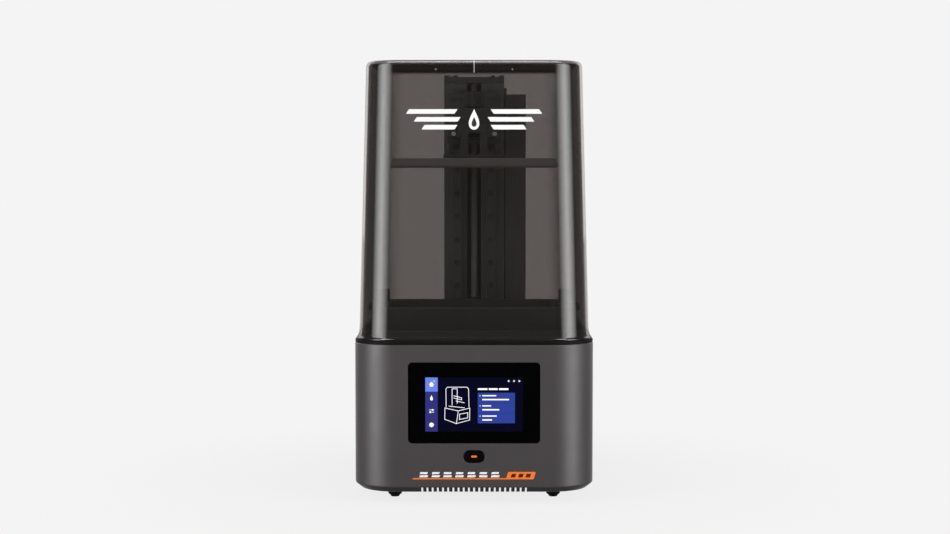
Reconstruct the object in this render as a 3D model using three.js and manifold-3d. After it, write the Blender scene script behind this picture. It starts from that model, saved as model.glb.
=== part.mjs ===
// A desktop resin printer: a grey base with a touch panel, a tinted cover that lifts off, and under the
// cover a resin vat, a build platform on a cantilever arm, and the screw-driven column that raises it.
// Millimetres, +Z up. The origin is on the floor under the middle of the base, and the front faces -Y.
import * as THREE from "three";
import { mergeVertices } from "three/addons/utils/BufferGeometryUtils.js";
import Module from "manifold-3d";

const wasm = await Module();
wasm.setup();

// ---------------------------------------------------------------- driving dimensions

const WIDTH = 236;
const DEPTH = 238;
const HEIGHT = 432;
const FRONT = -DEPTH / 2;
const BACK = DEPTH / 2;
const GAP = 0.3; // between pieces that touch on the real machine

const BASE_BOTTOM = 10.4;
const BASE_TOP = 155.5;
const BASE_RADIUS = 42;
const BASE_WALL = 3;
const CHAMFER_HEIGHT = 5.4;
const CHAMFER_INSET = 6.8;

const DECK_BOTTOM = BASE_TOP + 0.2;
const DECK_TOP = DECK_BOTTOM + 2.3;
const DECK_INSET = 0.2; // the dark edge between the cover and the base

const COVER_BOTTOM = 159;
const COVER_WALL = 2.8;
const COVER_FOOT = WIDTH / 2 - 0.2; // half its width at the very bottom
const COVER_LOW = { half: 113.6, z: 170, radius: 39 }; // where the flare ends
const COVER_HIGH = { half: 106.8, z: 426, radius: 37 }; // where the roof's edge begins
const COVER_DEEPER = (DEPTH - WIDTH) / 2; // the cover is this much deeper than wide, each way

const VAT_Y = -12; // middle of the exposure screen, the vat and the build plate
const SCREEN = { width: 153.4, depth: 87 }; // the exposure screen's lit area
const VAT = { width: 205, depth: 122, top: 188, bottom: 163.1, floor: 184 };
const VAT_TANK = { width: 180, depth: 115, wall: 3 };
const VAT_SCREW_X = 94.5;

const COLUMN = { width: 64, depth: 32, front: 69.5, wall: 4, slot: 15, bottom: DECK_TOP + 0.2, top: 416 };
const SCREW_Y = COLUMN.front + COLUMN.depth / 2;
const SCREW_RADIUS = 4;
const RAIL_X = 18;
const CARRIAGE_Z = 378; // middle of the rail blocks at rest, which is the top of the travel

const PLATE = { width: 168, depth: 96, bottom: 327, height: 9.7 };
const ARM = { half: 24, front: -32, bottom: 358, top: 387 };
const CARRIAGE_PLATE = { width: 56, front: 53.3, thick: 6, bottom: 352, top: 405 };
const SLOT = { half: 17, neck: 14, floor: 362, roof: 374 }; // the arm's T-slot, for the platform's tongue
const TONGUE_BACK = 8.5;
const LEG = { inside: 6, outside: 13.6 }; // the two legs between the platform and its tongue

const PANEL = { width: 128.5, height: 78.8, z: 98.7 };
const DISPLAY = { width: 105, height: 67 }; // the module behind the glass; its lit area is 95 by 54
const BUTTON = { width: 20.6, height: 11.8, z: 46.3 };

// ---------------------------------------------------------------- shapes

/** The corners of a rounded rectangle, anticlockwise, with `steps` facets to each corner. */
function outline(width, depth, radius, steps = 7) {
  const points = [];
  [[1, -1], [1, 1], [-1, 1], [-1, -1]].forEach(([sideX, sideY], corner) => {
    const x = sideX * (width / 2 - radius);
    const y = sideY * (depth / 2 - radius);
    for (let step = 0; step <= steps; step++) {
      const angle = ((corner - 1 + step / steps) * Math.PI) / 2;
      const point = new THREE.Vector2(x + radius * Math.cos(angle), y + radius * Math.sin(angle));
      if (!points.some((other) => other.distanceTo(point) < 1e-6)) points.push(point);
    }
  });
  return points;
}

/** A manifold-3d solid from a closed three.js geometry. */
function solidOf(geometry) {
  const bare = geometry.clone();
  bare.deleteAttribute("normal");
  bare.deleteAttribute("uv");
  const merged = mergeVertices(bare, 1e-4);
  const mesh = new wasm.Mesh({
    numProp: 3,
    vertProperties: merged.attributes.position.array,
    triVerts: new Uint32Array(merged.index.array),
  });
  return new wasm.Manifold(mesh);
}

/** A three.js geometry from a manifold-3d solid. */
function geometryOf(solid) {
  const mesh = solid.getMesh();
  const positions = new Float32Array(mesh.numVert * 3);
  for (let vertex = 0; vertex < mesh.numVert; vertex++) {
    const from = vertex * mesh.numProp;
    positions.set(mesh.vertProperties.subarray(from, from + 3), vertex * 3);
  }
  const geometry = new THREE.BufferGeometry();
  geometry.setAttribute("position", new THREE.BufferAttribute(positions, 3));
  geometry.setIndex(new THREE.BufferAttribute(mesh.triVerts, 1));
  geometry.computeVertexNormals();
  return geometry;
}

const join = (first, ...others) => others.reduce((sum, other) => sum.add(other), first);
const cut = (first, ...others) => others.reduce((rest, other) => rest.subtract(other), first);
const moved = (geometry, x, y, z) => geometry.translate(x, y, z);

/** A block between low and high on each axis. */
function block([x0, x1], [y0, y1], [z0, z1]) {
  const geometry = new THREE.BoxGeometry(x1 - x0, y1 - y0, z1 - z0);
  return solidOf(moved(geometry, (x0 + x1) / 2, (y0 + y1) / 2, (z0 + z1) / 2));
}

const extruded = (points, depth) =>
  new THREE.ExtrudeGeometry(new THREE.Shape(points), { depth, bevelEnabled: false });

/** An upright prism from a list of corners. */
function prism(points, z0, z1, x = 0, y = 0) {
  const geometry = extruded(points, z1 - z0);
  return solidOf(moved(geometry, x, y, z0));
}

/** An upright round bar. */
function rod(radius, z0, z1, x = 0, y = 0, sides = 20) {
  const geometry = new THREE.CylinderGeometry(radius, radius, z1 - z0, sides).rotateX(Math.PI / 2);
  return solidOf(moved(geometry, x, y, (z0 + z1) / 2));
}

/** A prism whose corners are given in X and Z, running along Y. */
function frontPrism(points, y0, y1, x = 0, z = 0) {
  const geometry = extruded(points, y1 - y0);
  return solidOf(moved(geometry.rotateX(Math.PI / 2), x, y1, z));
}

/** A round bar along Y. */
function frontRod(radius, y0, y1, x, z, sides = 20) {
  return solidOf(moved(new THREE.CylinderGeometry(radius, radius, y1 - y0, sides), x, (y0 + y1) / 2, z));
}

/** A closed skin over a stack of outlines that all have the same number of corners. */
function loft(rings) {
  const count = rings[0].points.length;
  const positions = rings.flatMap(({ points, z }) => points.flatMap((point) => [point.x, point.y, z]));
  const faces = [];
  for (let ring = 0; ring + 1 < rings.length; ring++) {
    for (let i = 0; i < count; i++) {
      const here = ring * count + i;
      const next = ring * count + ((i + 1) % count);
      faces.push(here, next, next + count, here, next + count, here + count);
    }
  }
  const top = (rings.length - 1) * count;
  THREE.ShapeUtils.triangulateShape(rings[0].points, []).forEach(([a, b, c]) => faces.push(c, b, a));
  const last = rings[rings.length - 1].points;
  THREE.ShapeUtils.triangulateShape(last, []).forEach(([a, b, c]) => faces.push(top + a, top + b, top + c));
  const geometry = new THREE.BufferGeometry();
  geometry.setAttribute("position", new THREE.Float32BufferAttribute(positions, 3));
  geometry.setIndex(faces);
  return solidOf(geometry);
}

/** A solid turned about Z from radius and height pairs that start and end on the axis. */
function turned(profile, sides = 20) {
  const points = profile.map(([radius, height]) => new THREE.Vector2(radius, height));
  return solidOf(new THREE.LatheGeometry(points, sides).rotateX(Math.PI / 2));
}

/** A hand knob with lobes round its edge. */
function lobed(radius, lobes, groove, z0, z1) {
  const perLobe = 6;
  const points = [];
  for (let i = 0; i < lobes * perLobe; i++) {
    const angle = (i / (lobes * perLobe)) * 2 * Math.PI;
    const r = radius - (groove * (1 - Math.cos(lobes * angle))) / 2;
    points.push(new THREE.Vector2(r * Math.cos(angle), r * Math.sin(angle)));
  }
  return prism(points, z0, z1);
}

// ---------------------------------------------------------------- finishes

const finish = (color, roughness, metalness = 0, extra = {}) => () =>
  new THREE.MeshStandardMaterial({ color, roughness, metalness, ...extra });
const greyShell = finish(0x4b4748, 0.45, 0.25);
const blackPlastic = finish(0x161616, 0.55);
const blackMetal = finish(0x232323, 0.4, 0.6);
const aluminium = finish(0x9a9b9d, 0.35, 0.9);
const steel = finish(0xb9bbbd, 0.25, 1);
const brass = finish(0xb08a45, 0.35, 1);
const rubber = finish(0x101010, 0.85);
const glass = finish(0x050506, 0.08);
const circuit = finish(0x1d4a2c, 0.6);
const tinted = finish(0x5a534e, 0.08, 0, { transparent: true, opacity: 0.6 });
const clear = finish(0xdfe6e8, 0.1, 0, { transparent: true, opacity: 0.35 });
const orange = finish(0xff6a13, 0.4, 0, { emissive: 0xff6a13, emissiveIntensity: 0.6 });

/** Adds one named sub-part to a group, at a place. */
function add(group, name, solid, material, [x, y, z] = [0, 0, 0]) {
  const mesh = new THREE.Mesh(geometryOf(solid), material());
  mesh.name = name;
  mesh.position.set(x, y, z);
  group.add(mesh);
  return mesh;
}

/** A group at a place inside another group. */
function subgroup(parent, x = 0, y = 0, z = 0) {
  const group = new THREE.Group();
  group.position.set(x, y, z);
  parent.add(group);
  return group;
}

// ---------------------------------------------------------------- base

const baseOutline = (inset) => outline(WIDTH - 2 * inset, DEPTH - 2 * inset, BASE_RADIUS - inset);

const VENT = { count: 21, pitch: 5.06, width: 1.8, top: 15.8, depth: 11 };
const FAN = { size: 60, thick: 15, bore: 28.3 };
const EXHAUST = { x: -40, z: 84 };
const ROCKER = { x: 46, z: 46, width: 21, height: 15, hinge: 6, tilt: 12 };
const JACK = { x: 68, z: 46, radius: 6.5 };
const USB = { y: -58, z: 92, width: 13.2, height: 5.8 };
const EDGE_BREAK = 0.7; // the base's top edge
const POCKET = 1.7; // depth of the seats for parts that lie flush in the wall

function frontVents() {
  const first = (-(VENT.count - 1) / 2) * VENT.pitch;
  return Array.from({ length: VENT.count }, (_, i) => {
    const x = first + i * VENT.pitch;
    const half = VENT.width / 2;
    return block([x - half, x + half], [FRONT - 1, FRONT + VENT.depth], [BASE_BOTTOM - 1, VENT.top]);
  });
}

function exhaustSlots() {
  const half = 26;
  const pitch = 5.2;
  return Array.from({ length: 9 }, (_, i) => {
    const x = (i - 4) * pitch;
    const reach = Math.sqrt(half * half - x * x);
    const middle = EXHAUST.x + x;
    return block([middle - 1.4, middle + 1.4], [BACK - 5, BACK + 1], [EXHAUST.z - reach, EXHAUST.z + reach]);
  });
}

function cornerBosses() {
  const reach = BASE_RADIUS - 6;
  const x = WIDTH / 2 - BASE_RADIUS + reach * Math.SQRT1_2;
  const y = DEPTH / 2 - BASE_RADIUS + reach * Math.SQRT1_2;
  return [[x, y], [x, -y], [-x, y], [-x, -y]].map(([cx, cy]) => rod(5, 18, BASE_TOP - 0.2, cx, cy, 10));
}

function baseShell() {
  const outside = loft([
    { points: baseOutline(CHAMFER_INSET), z: BASE_BOTTOM },
    { points: baseOutline(0), z: BASE_BOTTOM + CHAMFER_HEIGHT },
    { points: baseOutline(0), z: BASE_TOP - EDGE_BREAK },
    { points: baseOutline(EDGE_BREAK), z: BASE_TOP },
  ]);
  const inside = loft([
    { points: baseOutline(CHAMFER_INSET + BASE_WALL), z: BASE_BOTTOM - 1 },
    { points: baseOutline(CHAMFER_INSET + BASE_WALL), z: BASE_BOTTOM },
    { points: baseOutline(BASE_WALL), z: BASE_BOTTOM + CHAMFER_HEIGHT },
    { points: baseOutline(BASE_WALL), z: BASE_TOP + 1 },
  ]);
  const panelSeat = outline(PANEL.width + 0.6, PANEL.height + 0.6, 4.3, 4);
  const panelHole = outline(PANEL.width - 7, PANEL.height - 7, 2, 3);
  const buttonHole = outline(BUTTON.width + 0.8, BUTTON.height + 0.8, (BUTTON.height + 0.8) / 2, 6);
  const rockerSeat = outline(ROCKER.width + 0.6, ROCKER.height + 0.6, 1.2, 2);
  const rockerHole = outline(ROCKER.width - 2, ROCKER.height - 2, 0.8, 2);
  const usbY = [USB.y - USB.width / 2 - GAP, USB.y + USB.width / 2 + GAP];
  const usbZ = [USB.z - USB.height / 2 - GAP, USB.z + USB.height / 2 + GAP];
  return cut(
    join(cut(outside, inside), ...cornerBosses()),
    frontPrism(panelSeat, FRONT - 1, FRONT + POCKET, 0, PANEL.z),
    frontPrism(panelHole, FRONT - 1, FRONT + 9, 0, PANEL.z),
    frontPrism(buttonHole, FRONT - 1, FRONT + 9, 0, BUTTON.z),
    frontPrism(rockerSeat, BACK - POCKET, BACK + 1, ROCKER.x, ROCKER.z),
    frontPrism(rockerHole, BACK - 9, BACK + 1, ROCKER.x, ROCKER.z),
    frontRod(JACK.radius + GAP, BACK - POCKET, BACK + 1, JACK.x, JACK.z, 24),
    frontRod(JACK.radius - 0.7, BACK - 9, BACK + 1, JACK.x, JACK.z, 24),
    block([WIDTH / 2 - 9, WIDTH / 2 + 1], usbY, usbZ),
    ...frontVents(),
    ...exhaustSlots(),
  );
}

function bottomPlate() {
  const thick = 2;
  const plate = prism(outline(222, 224, 35), 0, thick);
  const slots = [-2, -1, 0, 1, 2].map((i) => {
    const y = VAT_Y + i * 9;
    return block([-26, 26], [y - 1.6, y + 1.6], [-1, thick + 1]);
  });
  const behindVents = block([-56, 56], [FRONT, FRONT + 29], [-1, thick + 1]); // lets the air in
  const corners = [[-72, 44], [72, 44], [-72, -64], [72, -64]];
  const standoffs = corners.map(([x, y]) => rod(3, thick - 0.5, 8.5, x, y, 8));
  return join(cut(plate, behindVents, ...slots), ...standoffs);
}

function topDeck() {
  const inset = (d, radius) => outline(WIDTH - 2 * d, DEPTH - 2 * d, radius);
  const inner = WIDTH / 2 - COVER_LOW.half + COVER_WALL + 0.8; // just inside the cover
  const corner = COVER_LOW.radius - COVER_WALL;
  const plate = prism(inset(DECK_INSET, BASE_RADIUS - DECK_INSET), DECK_BOTTOM, DECK_TOP);
  const hollow = prism(inset(inner + 3.2, corner - 3), DECK_TOP - 3, 169);
  const curbLow = cut(prism(inset(inner, corner), DECK_BOTTOM, 162), hollow);
  const curbHigh = cut(prism(inset(inner + 1.4, corner - 1.4), DECK_BOTTOM, 168.5), hollow);
  const posts = [-1, 1].map((side) => rod(4, DECK_TOP - 0.5, VAT.floor - GAP, side * VAT_SCREW_X, VAT_Y, 16));
  const threads = [-1, 1].map((side) => rod(2.4, 169, VAT.floor, side * VAT_SCREW_X, VAT_Y, 12));
  return cut(
    join(plate, curbLow, curbHigh, ...posts),
    ...threads,
    prism(outline(SCREEN.width + 5, SCREEN.depth + 5, 3, 3), DECK_BOTTOM - 1, DECK_TOP + 1, 0, VAT_Y),
    rod(12, DECK_BOTTOM - 1, DECK_TOP + 1, 0, SCREW_Y, 24),
    block([-45, 45], [52, 56], [DECK_BOTTOM - 1, DECK_TOP + 1]),
  );
}

function coverGasket() {
  const edge = (d) => outline(WIDTH - 2 * d, DEPTH - 2 * d, BASE_RADIUS - d);
  return cut(prism(edge(2), 0, 0.8), prism(edge(6.4), -1, 2));
}

const FOOT = { x: 78.8, y: 76 };

function foot() {
  return turned([[0, 0], [4.1, 0], [4.7, 1.5], [6.8, 3], [6.8, 12.8], [0, 12.8]], 16);
}

function touchPanel(base) {
  const panel = subgroup(base, 0, FRONT, PANEL.z);
  add(panel, "touch_glass", frontPrism(outline(PANEL.width, PANEL.height, 4, 4), 0, 1.4), glass);
  const x = DISPLAY.width / 2;
  const z = DISPLAY.height / 2;
  add(panel, "touch_display", block([-x, x], [1.8, 4.6], [-z, z]), blackPlastic);
  const connectors = [block([-40, -18], [7.9, 11], [-30, -24]), block([20, 34], [7.9, 11], [-30, -25])];
  const board = join(block([-58, 58], [6.4, 8], [-35, 35]), ...connectors);
  add(panel, "display_board", board, circuit);
}

function powerButton(base) {
  const button = subgroup(base, 0, FRONT, BUTTON.z);
  const cap = frontPrism(outline(BUTTON.width, BUTTON.height, BUTTON.height / 2, 6), 0, 3.5);
  const lip = frontPrism(outline(24.4, 15.6, 7.8, 6), 3.4, 4.8);
  const stem = frontRod(2.5, 4.7, 6, 0, 0, 10);
  const window = frontPrism(outline(6, 2.2, 1.1, 3), -1, 3);
  add(button, "power_button", cut(join(cap, lip, stem), window), glass);
  add(button, "button_light", frontPrism(outline(5.6, 1.8, 0.9, 3), 0, 2.8), orange);
  const bezel = block([-15, 15], [12.2, 13.8], [-10, 10]);
  const tactSwitch = join(block([-3, 3], [8.4, 12.3], [-3, 3]), frontRod(1.6, 7.4, 8.5, 0, 0, 8));
  add(base, "button_board", join(bezel, tactSwitch), circuit, [0, FRONT, BUTTON.z]);
}

function powerEntry(base) {
  const rear = subgroup(base, 0, BACK, 0);
  const bezel = frontPrism(outline(ROCKER.width, ROCKER.height, 1, 2), -1.4, 0);
  const body = block([-9, 9], [-20, -1.3], [-6, 6]);
  const well = block([-7.8, 7.8], [-12, 1], [-4.6, 4.6]);
  add(rear, "rocker_housing", cut(join(bezel, body), well), blackPlastic, [ROCKER.x, 0, ROCKER.z]);
  // The paddle is a shallow V about its upright hinge, so one half stands proud and the other lies flat.
  const face = [[-7, -1.2], [-0.7, -2.6], [0.7, -2.6], [7, -1.2], [7, 3.8], [0, 2.6], [-7, 3.8]];
  const half = 4.2;
  const paddle = prism(face.map(([x, y]) => new THREE.Vector2(x, y)), -half, half);
  const rocker = add(rear, "power_rocker", paddle, blackPlastic, [ROCKER.x, -ROCKER.hinge, ROCKER.z]);
  rocker.rotation.z = THREE.MathUtils.degToRad(-ROCKER.tilt);
  const flange = frontRod(JACK.radius, -1.4, 0, 0, 0, 24);
  const barrel = frontRod(5.4, -13, -1.3, 0, 0, 20);
  const socket = frontRod(3.2, -10.5, 1, 0, 0, 16);
  const pin = frontRod(1, -11, -1, 0, 0, 8);
  add(rear, "power_jack", join(cut(join(flange, barrel), socket), pin), blackPlastic, [JACK.x, 0, JACK.z]);
}

function usbPort(base) {
  const port = subgroup(base, WIDTH / 2, USB.y, USB.z);
  const halfWidth = USB.width / 2;
  const halfHeight = USB.height / 2;
  const shell = block([-15, -0.3], [-halfWidth, halfWidth], [-halfHeight, halfHeight]);
  const hollow = block([-14, 1], [-halfWidth + 0.5, halfWidth - 0.5], [-halfHeight + 0.5, halfHeight - 0.5]);
  add(port, "usb_shell", cut(shell, hollow), steel);
  add(port, "usb_tongue", block([-13.8, -1.5], [-5.6, 5.6], [0.1, 1.9]), blackPlastic);
}

/** A square axial fan blowing along its own +Z, as a frame and a rotor. */
function fan(parent, frameName, rotorName) {
  const half = FAN.size / 2;
  const bore = rod(FAN.bore, -1, FAN.thick + 1, 0, 0, 32);
  const ring = cut(prism(outline(FAN.size, FAN.size, 3, 2), 0, FAN.thick), bore);
  const arms = [0, 1, 2, 3].map((i) =>
    solidOf(moved(new THREE.BoxGeometry(24, 2.4, 1.6), 19, 0, 0.8).rotateZ(Math.PI / 4 + (i * Math.PI) / 2)),
  );
  const screwHoles = [[1, 1], [1, -1], [-1, 1], [-1, -1]].map(([x, y]) =>
    rod(2.1, -1, FAN.thick + 1, x * (half - 5), y * (half - 5), 10),
  );
  const frame = cut(join(ring, rod(12.5, 0, 1.6, 0, 0, 20), ...arms), ...screwHoles);
  add(parent, frameName, frame, blackPlastic);
  const blades = Array.from({ length: 7 }, (_, i) => {
    const blade = new THREE.BoxGeometry(17, 1.5, 10.5).rotateX(0.62);
    return solidOf(moved(blade, 18.4, 0, 8).rotateZ((i * 2 * Math.PI) / 7));
  });
  add(parent, rotorName, join(rod(11.5, 2.4, 13.6, 0, 0, 20), ...blades), blackPlastic);
}

/** The lamp under the exposure screen: hood, lens, board, heat sink and its fan. */
function lightEngine(base) {
  const light = subgroup(base, 0, VAT_Y, 0);
  const hoodRing = (grow, share, z) => ({
    points: outline(110 + 48 * share + grow, 66 + 26 * share + grow, 3, 2),
    z,
  });
  const outside = loft([hoodRing(3.2, 0, 103.7), hoodRing(3.2, 1, 155.3)]);
  const mouths = [hoodRing(0, 0, 102), hoodRing(0, 0, 103.7), hoodRing(0, 1, 155.3), hoodRing(0, 1, 156)];
  const inside = loft(mouths);
  add(light, "light_hood", cut(outside, inside), blackPlastic);
  add(light, "collimating_lens", prism(outline(132, 77.4, 4, 3), 128, 130), clear);
  add(light, "led_board", block([-62, 62], [-40, 40], [101.8, 103.4]), aluminium);
  const fins = Array.from({ length: 13 }, (_, i) =>
    block([i * 10 - 60.8, i * 10 - 59.2], [-40, 40], [76, 98]),
  );
  add(light, "heat_sink", join(block([-62, 62], [-40, 40], [97.5, 101.5]), ...fins), aluminium);
  const lampFan = subgroup(light, 0, 0, 60.7);
  fan(lampFan, "lamp_fan_frame", "lamp_fan_rotor");
}

function electronics(base) {
  const board = subgroup(base, 0, -10, 21.8);
  const chips = [
    block([-60, -40], [20, 50], [1.5, 9]),
    block([-20, -4], [-30, -14], [1.5, 4]),
    block([10, 30], [20, 40], [1.5, 6]),
    block([56, 70], [-50, 30], [1.5, 8]),
  ];
  add(board, "main_board", join(block([-76, 76], [-58, 58], [0, 1.6]), ...chips), circuit);
  const exhaust = subgroup(base, EXHAUST.x, BACK - BASE_WALL - FAN.thick - 0.5, EXHAUST.z);
  exhaust.rotation.x = -Math.PI / 2; // its +Z blows out through the back wall
  fan(exhaust, "exhaust_fan_frame", "exhaust_fan_rotor");
}

function exposureScreen(base) {
  const screen = subgroup(base, 0, VAT_Y, DECK_TOP);
  add(screen, "exposure_screen", prism(outline(166, 100, 1, 2), 0.1, 1.5), glass);
  const frame = cut(prism(outline(178, 116, 4, 2), 0.1, 1.5), prism(outline(166.6, 100.6, 1, 2), -1, 3));
  add(screen, "screen_frame", frame, blackPlastic);
}

// ---------------------------------------------------------------- column, screw and carriage

function column(base) {
  const { width, depth, wall, slot, bottom, top } = COLUMN;
  const post = subgroup(base, 0, COLUMN.front, 0);
  const section = cut(
    block([-width / 2, width / 2], [0, depth], [bottom, top]),
    block([-width / 2 + wall, width / 2 - wall], [wall, depth - wall], [bottom - 1, top + 1]),
    block([-slot / 2, slot / 2], [-1, wall + 1], [bottom - 1, top + 1]),
  );
  add(post, "z_column", section, blackMetal);
  const cap = join(
    block([-width / 2, width / 2], [0, depth], [top + 0.2, 423]),
    ...[-1, 1].map((side) => block([side * 29 - 3, side * 29 + 3], [0, depth], [422, 424.6])),
  );
  add(post, "column_cap", cut(cap, rod(8.3, top, 421.5, 0, depth / 2, 24)), blackMetal);
  const bearing = cut(rod(8, top + 0.4, 421.2, 0, 0, 24), rod(SCREW_RADIUS + 0.3, top, 422, 0, 0, 20));
  add(post, "screw_bearing", bearing, steel, [0, depth / 2, 0]);
  const duct = cut(
    join(
      prism([[33, 0], [55, 0], [55, 32], [33, 32]].map(([x, y]) => new THREE.Vector2(x, y)), bottom, 404.5),
      block([32.3, 34.6], [4, 26], [400, 411.5]),
    ),
    block([34.6, 53.4], [1.6, 30.4], [bottom - 1, 402.9]),
  );
  add(post, "side_duct", duct, blackMetal);
  ["left", "right"].forEach((side, i) => {
    const x = (2 * i - 1) * RAIL_X;
    add(post, `${side}_rail`, block([-4.5, 4.5], [-6.2, -0.1], [164, 410]), steel, [x, 0, 0]);
  });
  const fork = cut(block([-3.2, 3.2], [-7.4, -0.2], [168, 182]), block([-1.5, 1.5], [-8, 1], [171, 183]));
  add(post, "limit_sensor", fork, blackPlastic, [-27.6, 0, 0]);
  const motor = join(block([-21, 21], [-21, 21], [117, 155.4]), rod(11, 155, 157.4, 0, 0, 24));
  add(base, "z_motor", cut(motor, rod(3, 149, 158, 0, 0, 16)), blackMetal, [0, SCREW_Y, 0]);
}

function screw(base) {
  const spindle = subgroup(base, 0, SCREW_Y, 0);
  add(spindle, "lead_screw", rod(SCREW_RADIUS, 177, 421, 0, 0, 24), steel);
  const bores = [rod(SCREW_RADIUS + 0.3, 176.5, 189, 0, 0, 20), rod(2.8, 162, 175, 0, 0, 16)];
  const coupling = cut(rod(9.5, 163, 188, 0, 0, 24), ...bores);
  add(spindle, "shaft_coupling", coupling, aluminium);
  add(spindle, "motor_shaft", rod(2.5, 150, 174.7, 0, 0, 16), steel);
}

function carriage(base) {
  const ride = subgroup(base, 0, 0, CARRIAGE_Z);
  const back = CARRIAGE_PLATE.front + CARRIAGE_PLATE.thick;
  const half = CARRIAGE_PLATE.width / 2;
  const low = CARRIAGE_PLATE.bottom - CARRIAGE_Z;
  const high = CARRIAGE_PLATE.top - CARRIAGE_Z;
  const neck = block([-6, 6], [back - 1, SCREW_Y - 6], [-6, 6]);
  const head = block([-13, 13], [SCREW_Y - 7.5, SCREW_Y + 7.5], [-6, 6]);
  const plate = join(block([-half, half], [CARRIAGE_PLATE.front, back], [low, high]), neck, head);
  add(ride, "carriage_plate", cut(plate, rod(5.7, -7, 7, 0, SCREW_Y, 20)), blackMetal);
  const nut = join(rod(5.3, -12, 6.5, 0, 0, 20), rod(11, 6.2, 9.2, 0, 0, 24));
  add(ride, "lead_nut", cut(nut, rod(SCREW_RADIUS + 0.35, -13, 10, 0, 0, 20)), brass, [0, SCREW_Y, 0]);
  ["left", "right"].forEach((side, i) => {
    const truck = cut(block([-10, 10], [0.2, 8.2], [-20, 20]), block([-4.9, 4.9], [3.6, 9], [-21, 21]));
    add(ride, `${side}_rail_block`, truck, steel, [(2 * i - 1) * RAIL_X, back, 0]);
  });
  const flag = block([-0.6, 0.6], [back + 0.2, 66.4], [low - 12, low + 2]);
  add(ride, "limit_flag", flag, aluminium, [-27.6, 0, 0]);
  return ride;
}

function arm(ride) {
  const z = (height) => height - CARRIAGE_Z;
  const reach = [ARM.front, CARRIAGE_PLATE.front - 0.2];
  const beam = block([-ARM.half, ARM.half], reach, [z(ARM.bottom), z(ARM.top)]);
  const along = [ARM.front - 1, TONGUE_BACK + 0.5]; // how far the slot runs into the arm
  const slot = block([-SLOT.half, SLOT.half], along, [z(SLOT.floor), z(SLOT.roof)]);
  const neck = block([-SLOT.neck, SLOT.neck], along, [z(ARM.bottom) - 1, z(SLOT.floor) + 1]);
  const pockets = [-1, 1].map((side) => {
    const x = [side * ARM.half - 6, side * ARM.half + 6];
    return block(x, [16, 47], [z(363), z(382)]);
  });
  const bore = rod(3.6, z(SLOT.roof) - 1, z(ARM.top) + 1, 0, VAT_Y, 16);
  add(ride, "cantilever_arm", cut(beam, slot, neck, bore, ...pockets), blackMetal);
  const stud = rod(2.9, SLOT.roof - ARM.top, 1.1, 0, 0, 12); // ends just above the tongue that it clamps
  const knob = join(lobed(10.7, 8, 1.6, 1, 17.3), rod(7, 0.3, 1.5, 0, 0, 16), stud);
  add(ride, "platform_knob", knob, blackPlastic, [0, VAT_Y, z(ARM.top)]);
}

function platform(ride) {
  const plate = subgroup(ride, 0, VAT_Y, PLATE.bottom - CARRIAGE_Z);
  const edge = 2.4;
  const slope = 2.3;
  const side = (inset) => outline(PLATE.width - 2 * inset, PLATE.depth - 2 * inset, 3, 2);
  const slab = loft([
    { points: side(0), z: 0 },
    { points: side(0), z: edge },
    { points: side(slope), z: PLATE.height },
  ]);
  add(plate, "build_plate", slab, blackMetal);
  const foot = PLATE.height + 0.2;
  const along = [ARM.front - VAT_Y, TONGUE_BACK - VAT_Y];
  const tongueZ = [SLOT.floor + GAP - PLATE.bottom, SLOT.roof - 0.4 - PLATE.bottom];
  const leg = block([LEG.inside, LEG.outside], along, [foot, tongueZ[0] + 1]);
  const otherLeg = block([-LEG.outside, -LEG.inside], along, [foot, tongueZ[0] + 1]);
  const flange = block([-31, 31], [-26, 26], [foot, foot + 3.6]);
  const tongue = block([0.4 - SLOT.half, SLOT.half - 0.4], along, tongueZ);
  const holes = [[-24.5, -20], [24.5, -20], [-24.5, 20], [24.5, 20]];
  const bores = holes.map(([x, y]) => rod(2.4, foot - 1, foot + 5, x, y, 12));
  const bracket = cut(join(flange, tongue, leg, otherLeg), ...bores);
  add(plate, "platform_bracket", bracket, blackMetal);
  holes.forEach(([x, y], i) => {
    const head = join(rod(3.5, 3.9, 7.9, 0, 0, 14), rod(2, 0.2, 4.1, 0, 0, 10));
    const socket = rod(1.5, 5.9, 9, 0, 0, 6);
    add(plate, `levelling_screw_${i + 1}`, cut(head, socket), steel, [x, y, foot]);
  });
}

// ---------------------------------------------------------------- vat

/** The rounded lip on one end of the vat, by which it is lifted out. */
function gripLip(side) {
  const low = 181.5;
  const high = VAT.top - 0.1; // level with the rim, so that it passes under the screw's head
  const round = 5.4;
  const centre = [102.6, 184];
  const corner = Array.from({ length: 5 }, (_, i) => {
    const angle = (i * Math.PI) / 8;
    return [centre[0] + round * Math.cos(angle), centre[1] + round * Math.sin(angle)];
  });
  const section = [[100, low], [106.8, low], ...corner, [centre[0], high], [100, high]];
  const points = section.map(([x, z]) => new THREE.Vector2(side * x, z));
  return frontPrism(side > 0 ? points : points.reverse(), -11, 11);
}

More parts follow.
